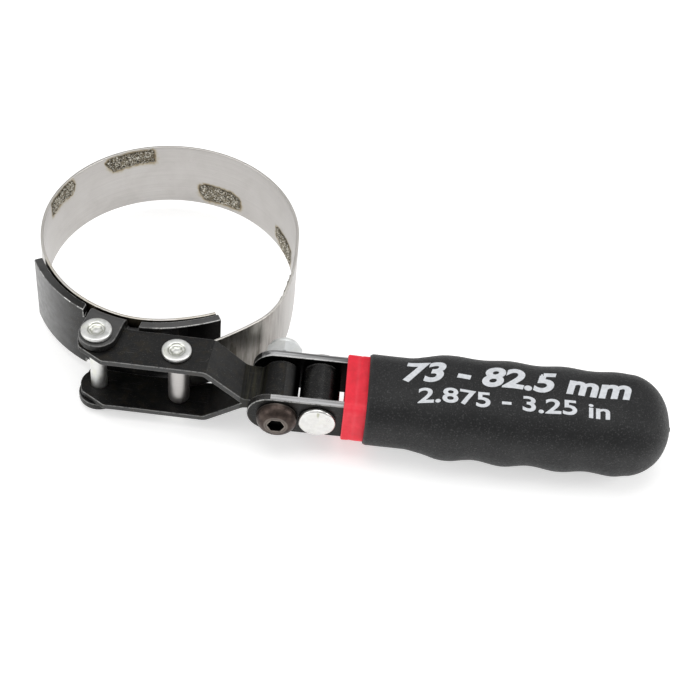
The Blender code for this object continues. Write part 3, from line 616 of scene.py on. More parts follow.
TAIL_TABLE = [0.0]
for _k in range(400):
    TAIL_TABLE.append(TAIL_TABLE[-1] + (tail_point((_k + 1) / 400) - tail_point(_k / 400)).length)


def tail_length(t):
    f = min(399.999, max(0.0, t * 400))
    i = int(f)
    return TAIL_TABLE[i] + (TAIL_TABLE[i + 1] - TAIL_TABLE[i]) * (f - i)


def tail_half(t):
    return BAND_H / 2 - (BAND_H - TAIL_H) / 2 * smooth((tail_length(t) - 40.65) / 24.1)


# stations along the strip's middle: (arc length, point, outward normal, half width)
STATIONS = []
_s = 0.0
_prev = None


def add_station(p, n, half, tag):
    global _s, _prev
    if _prev is not None:
        _s += (p - _prev).length
    _prev = p
    STATIONS.append((_s, p.copy(), n.copy(), half, tag))


def loop_mid(deg):
    return polar(loop_radius(deg) - BAND_T / 2, deg)


_deg = ANCHOR_END
while _deg > TAIL_START + 1e-6:
    d = (loop_mid(_deg - 0.2) - loop_mid(_deg + 0.2)).normalized()
    add_station(loop_mid(_deg), Vector((-d.y, d.x)), BAND_H / 2, ("loop", _deg))
    _deg -= 1.0
TAIL_N = 96
for _k in range(TAIL_N + 1):
    t = _k / TAIL_N
    d = tail_dir(t)
    add_station(tail_point(t), Vector((-d.y, d.x)), tail_half(t), ("tail", t))


def station_at(kind, value):
    best, at = 1e9, 0
    for i, st in enumerate(STATIONS):
        if st[4][0] == kind and abs(st[4][1] - value) < best:
            best, at = abs(st[4][1] - value), i
    return at


# grit pads: (name, body, from station, to station, bottom, top)
PAD_ROWS = (
    ("grit_pad_1", "band_1", 160.5, 10.4, 4.6, 11.6), ("grit_pad_2", "band_2", 118.4, 12.4, 4.6, 11.6),
    ("grit_pad_3", "band_3", 73.4, 11.2, -10.6, -3.0), ("grit_pad_4", "band_4", 28.2, 11.0, -11.2, -4.2),
    ("grit_pad_6", "bracket", 293.0, 6.6, -11.4, -4.4), ("grit_pad_7", "bracket", 249.0, 10.0, 4.6, 11.6),
    ("grit_pad_8", "bracket", 205.0, 10.0, -11.4, -4.4),
)
PADS = []
for name, body, mid, half, lo, hi in PAD_ROWS:
    a = STATIONS[station_at("loop", min(mid + half, ANCHOR_END - 1.0))][0]
    b = STATIONS[station_at("loop", mid - half)][0]
    PADS.append((name, body, a, b, lo, hi))
PADS.append(("grit_pad_5", "band_5", STATIONS[station_at("tail", 0.13)][0], STATIONS[station_at("tail", 0.30)][0], 4.6, 11.6))


# outline of each deposit: along the strip 0 to 1, bottom 0 to top 1
SHAPES = {
    "grit_pad_1": ((0.01, 0.17), (0.55, 0.20), (0.87, 0.13), (0.97, 0.28), (1.0, 0.6), (0.91, 1.04), (0.0, 1.04)),
    "grit_pad_2": ((0.17, 0.04), (0.42, 0.13), (0.98, 0.17), (1.0, 0.24), (1.0, 0.95), (0.96, 1.0), (0.30, 1.0), (0.08, 0.97), (0.0, 0.80), (0.04, 0.5)),
    "grit_pad_3": ((0.16, 0.0), (0.95, 0.07), (1.0, 0.22), (1.0, 0.62), (0.94, 0.82), (0.78, 0.95), (0.50, 0.98), (0.17, 1.0), (0.02, 0.86), (0.03, 0.48)),
    "grit_pad_4": ((0.36, 0.03), (1.0, 0.0), (1.0, 0.97), (0.2, 1.0), (0.09, 0.9), (0.12, 0.4)),
}
for _n, _m in (("grit_pad_5", "grit_pad_2"), ("grit_pad_6", "grit_pad_3"), ("grit_pad_7", "grit_pad_1"), ("grit_pad_8", "grit_pad_4")):
    SHAPES[_n] = SHAPES[_m]
OUTLINES = {_n: [(a + u * (b - a), lo + v * (hi - lo)) for u, v in SHAPES[_n]] for _n, _b, a, b, lo, hi in PADS}


def inside(pts, x, y):
    """Distance to an outline, positive inside it."""
    d, sign = 1e9, -1.0
    for i in range(len(pts)):
        (ax, ay), (bx, by) = pts[i], pts[i - 1]
        ex, ey, wx, wy = bx - ax, by - ay, x - ax, y - ay
        t = max(0.0, min(1.0, (wx * ex + wy * ey) / (ex * ex + ey * ey)))
        d = min(d, math.hypot(wx - ex * t, wy - ey * t))
        if (ay > y) != (by > y) and x < (bx - ax) * (y - ay) / (by - ay) + ax:
            sign = -sign
    return d * sign


def heat_at(s, z, half, inner):
    h = 0.0
    for _n, _b, a, b, lo, hi in PADS:
        if s < a - 6.0 or s > b + 6.0:
            continue
        d = -inside(OUTLINES[_n], s, z)
        amp = 0.45 + 0.55 * smooth(0.5 + 1.3 * noise.noise(Vector((s * 0.21, z * 0.21, 5.5))))
        spread = 0.60 if z > (lo + hi) / 2 else 1.15
        if -0.3 < d < 4.0:
            d += 0.45 * noise.noise(Vector((s * 0.8, z * 0.8, 3.1))) + 0.25 * noise.noise(Vector((s * 2.1, z * 2.1, 8.7)))
        edge = math.exp(-max(0.0, d + 0.1) / 0.34)
        wide = math.exp(-max(0.0, d + 0.1) / spread)
        h = max(h, (0.42 * edge + 0.50 * amp * wide) * (1.0 if inner else 0.10))
    return h


WELD_HEAT = [STATIONS[station_at("loop", d)][0] for d in (296.0, 286.0, 262.0, 238.0, 214.0)]


S_SHOE = [STATIONS[station_at("loop", d)][0] for d in (298.0, 206.8)]


def edge_heat_and_shade(s, z, half, outer):
    """Straw colour along the edge where the strip is welded to the bracket; the strip's outer face behind the bracket
    is painted dark, painted shade.
    """
    if outer and s < S_SHOE[1] and abs(z) < half - 0.1:
        return 1.0
    e = max(0.0, 1.0 - (half - abs(z)) / 2.2)
    w = max(math.exp(-((s - c) / 5.5) ** 2) for c in WELD_HEAT)
    return 0.42 * e * w


def tail_painted_shade(tag):
    """The outside of the free tail is streaked and painted darker, a painted reflection of the black yoke beside it."""
    return smooth((tag[1] - 0.05) / 0.55) if tag[0] == "tail" else 0.0


def strip_bm(first, last, zn=22):
    """Closed strip through the stations, with rounded edges."""
    bm = bmesh.new()
    heat_and_shade = bm.verts.layers.float.new("burn_and_shade")
    wear = bm.verts.layers.float.new("wear")
    shade = bm.verts.layers.float.new("shade")
    rings = []
    R = 0.16
    for i in range(first, last + 1):
        s, p, n, half, tag = STATIONS[i]
        row = []
        zs = [-half + R + (2 * half - 2 * R) * k / zn for k in range(zn + 1)]
        out = BAND_T / 2
        for z in zs:
            row.append((out, z, 0.0, False))
        for a in (30, 60):
            row.append((out - R + R * math.cos(math.radians(a)), half - R + R * math.sin(math.radians(a)), 0.6, False))
        row.append((out - R, half, 0.75, False))
        row.append((-out + R, half, 0.75, True))
        for a in (60, 30):
            row.append((-(out - R + R * math.cos(math.radians(a))), half - R + R * math.sin(math.radians(a)), 0.6, True))
        for z in zs[::-1]:
            row.append((-out, z, 0.0, True))
        for a in (30, 60):
            row.append((-(out - R + R * math.cos(math.radians(a))), -half + R - R * math.sin(math.radians(a)), 0.6, True))
        row.append((-out + R, -half, 0.75, True))
        row.append((out - R, -half, 0.75, False))
        for a in (60, 30):
            row.append((out - R + R * math.cos(math.radians(a)), -half + R - R * math.sin(math.radians(a)), 0.6, False))
        ring = []
        for o, z, w, inner in row:
            q = p + n * o
            v = bm.verts.new((q.x, q.y, z))
            # Weld tint, plus painted shade on the outer face behind the bracket.
            v[heat_and_shade] = min(1.0, heat_at(s, z, half, inner) + edge_heat_and_shade(s, z, half, o > 0.15))
            v[wear] = w
            v[shade] = tail_painted_shade(tag) if o > 0 else 0.0
            ring.append(v)
        rings.append(ring)
    n = len(rings[0])
    for a, b in zip(rings[:-1], rings[1:]):
        for j in range(n):
            k = (j + 1) % n
            bm.faces.new((a[j], a[k], b[k], b[j]))
    bm.faces.new(rings[0])
    bm.faces.new(rings[-1])
    return bm


def hinge_span(kind0, v0, kind1, v1):
    a, b = STATIONS[station_at(kind0, v0)][1], STATIONS[station_at(kind1, v1)][1]
    return world((a.x, a.y, 0)), world((b.x, b.y, 0))


SEGMENTS = (
    # name, from, to, body a, body b, bend from, bend to, CAD nodes
    ("band_strip_1", ("loop", 298.0), ("loop", 161.0), "bracket", "band_1", ("loop", 196.0), ("loop", 171.0), ("band_anchor",)),
    ("band_strip_2", ("loop", 161.0), ("loop", 118.0), "band_1", "band_2", ("loop", 149.0), ("loop", 131.0), ("band_leaf_1",)),
    ("band_strip_3", ("loop", 118.0), ("loop", 73.0), "band_2", "band_3", ("loop", 105.0), ("loop", 86.0), ("band_leaf_2",)),
    ("band_strip_4", ("loop", 73.0), ("loop", 28.0), "band_3", "band_4", ("loop", 61.0), ("loop", 40.0), ("band_leaf_3",)),
    ("band_strip_5", ("loop", 28.0), ("tail", 0.21875), "band_4", "band_5", ("loop", 16.0), ("tail", 0.11), ("band_leaf_4",)),
    ("band_strip_6", ("tail", 0.21875), ("tail", 1.0), "band_5", "band_end", ("tail", 0.31), ("tail", 0.49), ("band_leaf_5", "band_tail")),
)
for name, a, b, body_a, body_b, h0, h1, nodes in SEGMENTS:
    bm = strip_bm(station_at(*a), station_at(*b))
    ob = to_object(name, bm, STRIP, None, sharp=50.0)
    p0, p1 = hinge_span(h0[0], h0[1], h1[0], h1[1])
    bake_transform(ob)
    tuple(p0)
    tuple(p1)
    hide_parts(*nodes)

# rolled eye and the doubled-back end of the strip
rows = [(EYE_IR, -TAIL_H / 2), (EYE_OR, -TAIL_H / 2, 0.18, 0.75), (EYE_OR, TAIL_H / 2, 0.18, 0.75), (EYE_IR, TAIL_H / 2)]
prof = [(EYE_IR, -TAIL_H / 2 + 0.15, 0.3), (EYE_IR + 0.06, -TAIL_H / 2 + 0.04, 0.7), (EYE_IR + 0.16, -TAIL_H / 2, 0.8), (EYE_OR - 0.16, -TAIL_H / 2, 0.8), (EYE_OR - 0.05, -TAIL_H / 2 + 0.05, 0.5), (EYE_OR, -TAIL_H / 2 + 0.17, 0.0)]
prof += [(EYE_OR, z, 0.0) for z in (-5.0, -2.0, 1.0, 4.0)]
prof += [(EYE_OR, TAIL_H / 2 - 0.17, 0.0), (EYE_OR - 0.05, TAIL_H / 2 - 0.05, 0.5), (EYE_OR - 0.16, TAIL_H / 2, 0.8), (EYE_IR + 0.16, TAIL_H / 2, 0.8), (EYE_IR + 0.06, TAIL_H / 2 - 0.04, 0.7), (EYE_IR, TAIL_H / 2 - 0.15, 0.3)]
eye_bm = lathe(prof, EYE, "Z", 48)
to_object("tail_eye", eye_bm, STRIP, "band_end", sharp=50.0)


def leaf_strip(t0, t1, offset, half, thick, count=16):
    bm = bmesh.new()
    wear = bm.verts.layers.float.new("wear")
    rings = []
    for k in range(count + 1):
        t = t0 + (t1 - t0) * k / count
        d = tail_dir(t)
        n = Vector((-d.y, d.x))
        p = tail_point(t) + n * offset
        ring = []
        hh = half - (0.5 * (1 - k / 2.0) if k < 2 else 0.0)
        for o, z, w in ((thick / 2, -hh + 0.15, 0), (thick / 2, hh - 0.15, 0), (thick / 2 - 0.15, hh, 0.8), (-thick / 2 + 0.15, hh, 0.8), (-thick / 2, hh - 0.15, 0), (-thick / 2, -hh + 0.15, 0), (-thick / 2 + 0.15, -hh, 0.8), (thick / 2 - 0.15, -hh, 0.8)):
            q = p + n * o
            v = bm.verts.new((q.x, q.y, z))
            v[wear] = w
            ring.append(v)
        rings.append(ring)
    for a, b in zip(rings[:-1], rings[1:]):
        for j in range(8):
            m = (j + 1) % 8
            bm.faces.new((a[j], a[m], b[m], b[j]))
    bm.faces.new(rings[0])
    bm.faces.new(rings[-1])
    return bm


t_leaf = next(k / 400 for k in range(401) if tail_length(k / 400) > tail_length(1.0) - 14.0)
to_object("tail_fold", leaf_strip(t_leaf, 0.93, BAND_T * 0.98, TAIL_H / 2 - 0.15, BAND_T), STRIP, "band_end", sharp=50.0)


# ---------------------------------------------------------------- grit pads
def at_arc(s):
    lo, hi = 0, len(STATIONS) - 1
    while hi - lo > 1:
        m = (lo + hi) // 2
        if STATIONS[m][0] <= s:
            lo = m
        else:
            hi = m
    s0, p0, n0 = STATIONS[lo][:3]
    s1, p1, n1 = STATIONS[hi][:3]
    f = (s - s0) / (s1 - s0)
    return p0.lerp(p1, f), n0.lerp(n1, f).normalized()


def pad_height(s, z, name, seed):
    """Height of the deposit over the strip; negative outside its ragged outline."""
    q = Vector((s, z, seed * 7.3))
    d = inside(OUTLINES[name], s, z) + 0.55 * noise.noise(q * 0.50) + 0.40 * noise.noise(q * 1.3)
    rise = smooth((d + 0.1) / 0.8)
    cell = noise.voronoi(q * 0.95)[0][0]
    lumps = 0.50 - 0.42 * min(1.0, cell * 1.7)
    fine = 0.16 * noise.noise(q * 2.3) + 0.08 * noise.noise(q * 4.7)
    return -0.2 + rise * (0.45 + lumps + fine), 1.0 - smooth((d - 0.15) / 0.7)


for idx, (name, body, a, b, lo, hi) in enumerate(PADS):
    bm = bmesh.new()
    char = bm.verts.layers.float.new("burn_and_shade")
    A, B = a - 0.8, b + 0.8
    L, H = max(lo - 0.6, -12.0), min(hi + 0.6, 12.0)
    ns, nz = int((B - A) / 0.36), int((H - L) / 0.36)
    top, bot = [], []
    for i in range(ns + 1):
        s = A + (B - A) * i / ns
        p, n = at_arc(s)
        rt, rb = [], []
        for j in range(nz + 1):
            z = L + (H - L) * j / nz
            h, dark = pad_height(s, z, name, idx + 1)
            if i in (0, ns) or j in (0, nz):
                h = -0.25
            q = p - n * (BAND_T / 2 + min(h, 0.95))
            rt.append(bm.verts.new((q.x, q.y, z)))
            rt[-1][char] = dark
            q = p - n * (BAND_T / 2 - 0.42)
            rb.append(bm.verts.new((q.x, q.y, z)))
        top.append(rt)
        bot.append(rb)
    for i in range(ns):
        for j in range(nz):
            bm.faces.new((top[i][j], top[i][j + 1], top[i + 1][j + 1], top[i + 1][j]))
            bm.faces.new((bot[i][j], bot[i + 1][j], bot[i + 1][j + 1], bot[i][j + 1]))
    for i in range(ns):
        for j in (0, nz):
            f = (top[i][j], top[i + 1][j], bot[i + 1][j], bot[i][j])
            bm.faces.new(f if j == 0 else f[::-1])
    for j in range(nz):
        for i in (0, ns):
            f = (top[i][j], bot[i][j], bot[i][j + 1], top[i][j + 1])
            bm.faces.new(f if i == 0 else f[::-1])
    ob = to_object(name.replace("grit_pad", "weld_grit"), bm, GRIT, body)
    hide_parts(name)

# ================================================================ steel parts from their CAD shapes
def shoe_bare(p):
    """The coating is thin on the outer face of the long wing, less so towards the ear."""
    deg = math.degrees(math.atan2(p.y, p.x)) % 360
    return 0.62 * (1 - smooth((deg - 204.0) / 40.0)) * (1.0 if math.hypot(p.x, p.y) > 43.5 else 0.3)


# Top faces are lightened towards bare steel, a quarter on the long wing and fully over the ear and the short wing.
def shoe_bare_and_lit(c, n):
    if n.z < 0.8 or c.z < 9.0:
        return 0.0
    return 0.25 if math.degrees(math.atan2(c.y, c.x)) % 360 < 242.0 else 1.0


def shoe_rub(c):
    """Two stretches of the top edge are knocked bare: before the ear and over the short wing."""
    deg = math.degrees(math.atan2(c.y, c.x)) % 360
    if abs(c.z) < 9.0:
        return 1.0
    if 214.0 < deg < 243.0:
        return 1.0 + 3.0 * smooth(0.5 + 2.2 * noise.noise(Vector((deg * 0.55, 1.0, 2.0))))
    return 4.0 if 272.0 < deg < 312.0 else 1.0


def shoe_painted_shade(c, n):
    """Painted shade: the outer face of the short wing, in the shadow of the yoke, is painted near black, and the long
    wing's top face is painted darker.
    """
    deg = math.degrees(math.atan2(c.y, c.x)) % 360
    if n.z > 0.8 and c.z > 9.0 and deg < 242.0:
        return 0.40
    return 0.8 * smooth((deg - 280.0) / 6.0) if deg < 330.0 and abs(n.z) < 0.4 and n.y < -0.3 else 0.0


# Near cut edges are lightened as bare steel; faces turned towards the right lamp get half as much, a painted highlight.
def yoke_bare_and_lit(c, n):
    if n.y < -0.95:
        return 1.0
    return 0.5 if n.z > 0.3 and n.x > 0.3 and n.y > -0.3 else 0.0


# The legs' top and bottom edges are lightened as bare steel, the far leg's much more than the near's: a painted
# highlight.
def strap_bare_and_lit(c, n):
    if abs(n.z) < 0.8:
        return 0.0
    return 0.030 if c.y < HY else 0.62


def strap_painted_shade(c, n):
    """Painted shade: the legs' inner faces, which face each other across the gap, are painted near black."""
    return 0.85 if (n.y < -0.8 and c.y > HY) or (n.y > 0.8 and c.y < HY) else 0.0


def flank_shade_at(dx, z):
    """Painted shade: the sides of a cross tube are painted dark, leaving only its crown grey."""
    ang = math.degrees(math.atan2(dx, z))
    return smooth((abs(ang + 8.0) - 42.0) / 16.0) * (1 - smooth((abs(ang) - 110.0) / 25.0))


# Painted shade on the sides of the yoke's barrel.
def yoke_flank_shade(p):
    return flank_shade_at(p.x - SWIVEL_X, p.z) if p.x > 37.6 and abs(p.z) < 7.5 else 0.0


# Painted shade in the crease of the neck, next to the barrel.
def yoke_painted_shade(c, n):
    return 0.40 if 29.5 < c.x < 37.2 and abs(c.z) < 5.0 and n.z > -0.2 else 0.0


# Painted shade on the sides of a turned tube about the axis at x0.
def paint_flank_shade(bm, x0):
    layer = bm.verts.layers.float.new("painted_flank_shade")
    for v in bm.verts:
        v[layer] = flank_shade_at(v.co.x - x0, v.co.z)
    return bm


rounded_copy("bracket_shoe", "bracket", 0.32, SHOE_M, "bracket", bare=shoe_bare, bare_and_lit_face=shoe_bare_and_lit, painted_shade_face=shoe_painted_shade, rub=shoe_rub)
rounded_copy("yoke_plates", "lever_yoke", 0.26, YOKE_M, "lever", bare_and_lit_face=yoke_bare_and_lit, neck=lambda c: 1.0 if 29.5 < c.x < 37.2 and abs(c.z) < 5.0 else 0.0, painted_flank_shade=yoke_flank_shade, painted_shade_face=yoke_painted_shade)
rounded_copy("strap_loop", "handle_strap", 0.30, STRAP_M, "handle", bare_and_lit_face=strap_bare_and_lit, painted_shade_face=strap_painted_shade)


# ================================================================ rivets
def recess(r0):
    return lambda a: r0 * (1 + 0.07 * math.cos(6 * a))


def rivet(name, node, centre, shank, head, z_face, depth, body):
    """Two flat round heads with a faceted recess, joined by the shank."""
    rim = z_face + 1.25
    # The fourth value darkens the recess towards yellow-green: partly the recess's own tint, partly painted shade,
    # strongest on the groove and the recess walls.
    half = [(shank, z_face, 0.0), (head - 0.16, z_face, 0.3), (head - 0.04, z_face + 0.05, 0.6), (head, z_face + 0.18, 0.3),
            (head, z_face + 0.92, 0.1), (head - 0.04, z_face + 1.04, 0.7), (head - 0.15, z_face + 1.16, 0.7), (head - 0.32, z_face + 1.23, 0.3),
            (head - 0.50, rim, 0.0), (3.0, rim, 0.0), (2.82, rim - 0.03, 0.7), (2.72, rim - 0.12, 0.9, 0.3),
            (2.60, rim - 0.30, 0.0, 0.9), (2.42, rim - 0.40, 0.0, 0.8), (2.30, rim - 0.42, 0.6, 0.2), (recess(2.02), rim - 0.44, 0.6, 0.1),
            (recess(1.86), rim - 0.58, 0.0, 0.8), (recess(1.55), rim - depth, 0.0, 0.5), (0.9, rim - depth - 0.02, 0.3, 0.15), (0.35, rim - depth + 0.03, 0.6, 0.0), (0, rim - depth + 0.06, 0.6, 0.0)]
    rows = [(r, -h, *rest) for r, h, *rest in half[::-1]] + half
    bm = lathe(rows, centre, "Z", 96)
    ob = to_object(name, bm, ZINC, body, sharp=42.0)
    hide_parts(node)
    return ob


def z_top(node):
    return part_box(node)[1].z / MM - OFF.z


PIV_TOP, TEN_TOP = z_top("pivot_rivet"), z_top("tension_rivet")
rivet("pivot_pin", "pivot_rivet", Vector(PIVOT), 2.6, 4.75, PIV_TOP - 1.25, 0.72, "bracket")
rivet("tension_pin", "tension_rivet", Vector(TENSION), 1.75, 4.6, TEN_TOP - 1.25, 0.80, "lever")

# ================================================================ swivel screw, lock nut, bushing, spacer
_lo, _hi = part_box("swivel_screw")
Y_HEAD, Y_TIP = _lo.y / MM - OFF.y, _hi.y / MM - OFF.y
HEAD_H = 3.9
Y_BASE = Y_HEAD + HEAD_H
hexa = hex_radius(4.6, 0.0)
# The fourth value paints the hex socket near black: painted shade.
rows = [(0, Y_HEAD + 2.75, 0.0, 1.0), (0.8, Y_HEAD + 2.55, 0.0, 1.0), (lambda a: hexa(a) * 0.97, Y_HEAD + 2.35, 0.0, 1.0),
        (hexa, Y_HEAD + 2.2, 0.0, 1.0), (hexa, Y_HEAD + 0.4, 0.0, 0.95), (lambda a: hexa(a) + 0.02, Y_HEAD + 0.14, 0.3, 0.6), (lambda a: hexa(a) + 0.14, Y_HEAD + 0.01, 0.9, 0.0),
        (3.15, Y_HEAD, 0.2, 0.0), (3.35, Y_HEAD + 0.03, 0.6, 0.0)]
for a in (78, 66, 54, 42, 31, 21, 12, 5):
    rows.append((6.35 - 3.0 * (1 - math.cos(math.radians(a))), Y_HEAD + (HEAD_H - 0.55) * (1 - math.sin(math.radians(a))), 0.0, 0.0))
rows += [(6.35, Y_BASE - 0.5, 0.3), (6.33, Y_BASE - 0.12, 0.5), (6.2, Y_BASE, 0.5), (2.95, Y_BASE, 0.0), (2.75, Y_BASE + 0.15, 0.0)]
y = HY + 8.0
rows.append((2.75, y, 0.0))
while y < Y_TIP - 0.9:
    rows += [(2.72, y + 0.18, 0.4), (2.42, y + 0.50, 0.0), (2.72, y + 0.82, 0.4)]
    y += 1.0
rows += [(2.4, Y_TIP - 0.25, 0.3), (2.15, Y_TIP, 0.4), (0, Y_TIP, 0.1)]
ob = to_object("swivel_bolt", lathe(rows, (SWIVEL_X, 0), "Y", 72), SCREW, "handle", sharp=40.0)
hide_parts("swivel_screw")

_lo, _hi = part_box("lock_nut")
N0, N1 = _lo.y / MM - OFF.y, _hi.y / MM - OFF.y
nut_hex = hex_radius(11.0, 30.0)


def nut_ring(y, cone):
    def f(a):
        return min(nut_hex(a), cone)
    return (f, y, 0.0)


def nut_edge(a):
    return nut_hex(a)


rows = [(3.05, N0 + 0.15), (3.2, N0, 0.3), (5.0, N0, 0.2)]
for k in range(1, 6):
    rows.append(nut_ring(N0 + 0.02 + 0.75 * k / 5, 5.05 + 1.33 * k / 5))
for k in range(6):
    rows.append(nut_ring(N0 + 4.55 + 1.2 * k / 5, 6.40 - 1.25 * (k / 5) ** 1.3))
# The fourth value on the bore rows is painted shade inside the nut.
rows += [(5.12, N0 + 5.84, 0.0), (5.02, N0 + 5.98, 0.1), (5.05, N0 + 6.2, 0.0), (5.05, N1 - 0.75, 0.1), (5.0, N1 - 0.42, 0.5), (4.82, N1 - 0.12, 0.8), (4.5, N1, 0.6), (4.28, N1 - 0.04, 0.4),
         (4.18, N1 - 0.2, 0.0, 0.2), (4.15, N0 + 5.2, 0.0, 0.6), (3.05, N0 + 5.2, 0.0, 0.6)]
ob = to_object("lock_nut_body", lathe(rows, (SWIVEL_X, 0), "Y", 96), ZINC_NUT, "handle", sharp=30.0)
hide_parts("lock_nut")

_lo, _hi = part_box("lock_nut_insert")
I0, I1 = _lo.y / MM - OFF.y, _hi.y / MM - OFF.y
rows = [(3.05, I0 + 0.2), (3.2, I0), (3.7, I0), (3.9, I0 + 0.2), (3.9, I1 - 0.35, 0.2), (3.78, I1 - 0.1, 0.5), (3.55, I1, 0.4), (3.3, I1 - 0.03), (3.1, I1 - 0.2), (3.05, I1 - 0.45)]
ob = to_object("lock_nut_ring", lathe(rows, (SWIVEL_X, 0), "Y", 48), NYLON, "handle", sharp=40.0)
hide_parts("lock_nut_insert")

_lo, _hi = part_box("swivel_bushing")
B0, B1 = _lo.y / MM - OFF.y, _hi.y / MM - OFF.y
rows = [(3.05, B0 + 0.2), (3.2, B0 + 0.03, 0.3), (3.5, B0, 0.5), (3.66, B0 + 0.08, 0.7), (3.7, B0 + 0.3)]
rows += [(3.7, B0 + 0.3 + (B1 - B0 - 0.6) * k / 8, 0.0) for k in range(1, 8)]
rows += [(3.7, B1 - 0.3), (3.66, B1 - 0.08, 0.7), (3.5, B1, 0.5), (3.2, B1 - 0.03, 0.3), (3.05, B1 - 0.2)]
ob = to_object("swivel_bush", lathe(rows, (SWIVEL_X, 0), "Y", 64), TUBE_M, "handle", sharp=40.0)
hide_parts("swivel_bushing")

_lo, _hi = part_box("spacer_tube")
S0, S1 = _lo.y / MM - OFF.y, _hi.y / MM - OFF.y
SPR = 6.2
rows = [(3.3, S0 + 0.3), (3.5, S0 + 0.05, 0.2), (3.7, S0, 0.3), (SPR - 0.4, S0, 0.5), (SPR - 0.12, S0 + 0.1, 0.8), (SPR, S0 + 0.38, 0.2)]
n_rib = 26
for k in range(1, n_rib):
    y = S0 + 0.4 + (S1 - S0 - 0.8) * k / n_rib
    rows.append((SPR - (0.05 if k % 2 else 0.0), y, 0.0))
rows += [(SPR, S1 - 0.38, 0.2), (SPR - 0.12, S1 - 0.1, 0.8), (SPR - 0.4, S1, 0.5), (3.7, S1, 0.3), (3.5, S1 - 0.05, 0.2), (3.3, S1 - 0.3)]
# The spacer tube's sides carry painted shade.
ob = to_object("spacer_barrel", paint_flank_shade(lathe(rows, (SPACER_X, 0), "Y", 72), SPACER_X), TUBE_M, "handle", sharp=40.0)
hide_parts("spacer_tube")

_lo, _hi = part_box("spacer_rivet")
R0, R1 = _lo.y / MM - OFF.y, _hi.y / MM - OFF.y
SRT = 1.5
near = [(0, R0 + 0.05), (1.2, R0 + 0.03), (2.6, R0 + 0.01), (3.6, R0), (4.4, R0), (4.9, R0 + 0.02, 0.1), (5.3, R0 + 0.1, 0.5), (5.6, R0 + 0.28, 0.8), (5.73, R0 + 0.55, 0.4), (5.75, R0 + SRT - 0.15, 0.1), (5.62, R0 + SRT, 0.4), (3.0, R0 + SRT)]
far = [(r, R0 + R1 - h, *rest) for r, h, *rest in near[::-1]]
pin = lathe(near + far, (SPACER_X, 0), "Y", 72)
layer = pin.verts.layers.float.get("shade")
for v in pin.verts:
    if v.co.y < R0 + 0.03 and abs(v.co.x - SPACER_X - 0.2) < 0.28 and 3.0 < v.co.z < 4.95:
        v[layer] = 1.0
        v.co.y += 0.12
ob = to_object("spacer_pin", pin, ZINC_PIN, "handle", sharp=45.0)
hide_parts("spacer_rivet")


# ================================================================ red sleeve
def rr_point(hy, hz, r, u):
    """Point on a rounded rectangle, u from 0 to 1 round it."""
    sy, sz = 2 * (hy - r), 2 * (hz - r)
    q = math.pi * r / 2
    total = 2 * (sy + sz) + 4 * q
    d = (u % 1.0) * total
    d += sy / 2
    d %= total
    pieces = [(sy, "t"), (q, 0), (sz, "l"), (q, 1), (sy, "b"), (q, 2), (sz, "r"), (q, 3)]
    # start in the middle of the top side, going towards -y
    for ln, kind in pieces:
        if d <= ln:
            f = d / ln if ln > 0 else 0.0
            if kind == "t":
                return (hy - r - f * sy, hz)
            if kind == "l":
                return (-hy, hz - r - f * sz)
            if kind == "b":
                return (-hy + r + f * sy, -hz)
            if kind == "r":
                return (hy, -hz + r + f * sz)
            c = [(-hy + r, hz - r), (-hy + r, -hz + r), (hy - r, -hz + r), (hy - r, hz - r)][kind]
            a = math.radians([90, 180, 270, 0][kind] + 90 * f)
            return (c[0] + r * math.cos(a), c[1] + r * math.sin(a))
        d -= ln
    return (0.0, hz)


_lo, _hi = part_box("handle_sleeve")
SL0, SL1 = _lo.x / MM - OFF.x, _hi.x / MM - OFF.x
SHY, SHZ = (_hi.y - _lo.y) / 2 / MM, (_hi.z - _lo.z) / 2 / MM
bm = bmesh.new()
wear = bm.verts.layers.float.new("wear")
M = 96
stations = [(SL0 + 0.25, 0.22, 0.9), (SL0 + 0.05, 0.42, 0.9), (SL0, 0.62, 0.5)]
rows = []
inner_rows = []


def sleeve_ring(x, shrink, w, hy, hz, r):
    ring = []
    for k in range(M):
        yy, zz = rr_point(hy - shrink, hz - shrink, max(0.4, r - shrink * 0.5), k / M)
        bulge = 0.0
        if shrink < 0.3 and hy > 11:
            bulge = 0.10 * noise.noise(Vector((x * 0.3, yy * 0.25, zz * 0.25)))
            crease = math.exp(-((x - (SL0 + 3.6) - 0.08 * yy) / 0.35) ** 2)
            bulge -= 0.10 * crease
        n = Vector((yy / hy, zz / hz)).normalized()
        v = bm.verts.new((x, HY + yy + n.x * bulge, zz + n.y * bulge))
        # Painted highlight: a lighter line along the near top corner, carried in the wear layer.
        corner_highlight = math.exp(-((yy + hy - 0.8) ** 2 + (zz - hz + 0.8) ** 2) / 0.5) if hy > 11 else 0.0
        v[wear] = max(w, corner_highlight * (0.75 + 0.4 * noise.noise(Vector((x * 1.3, 0, 0)))))
        ring.append(v)
    return ring


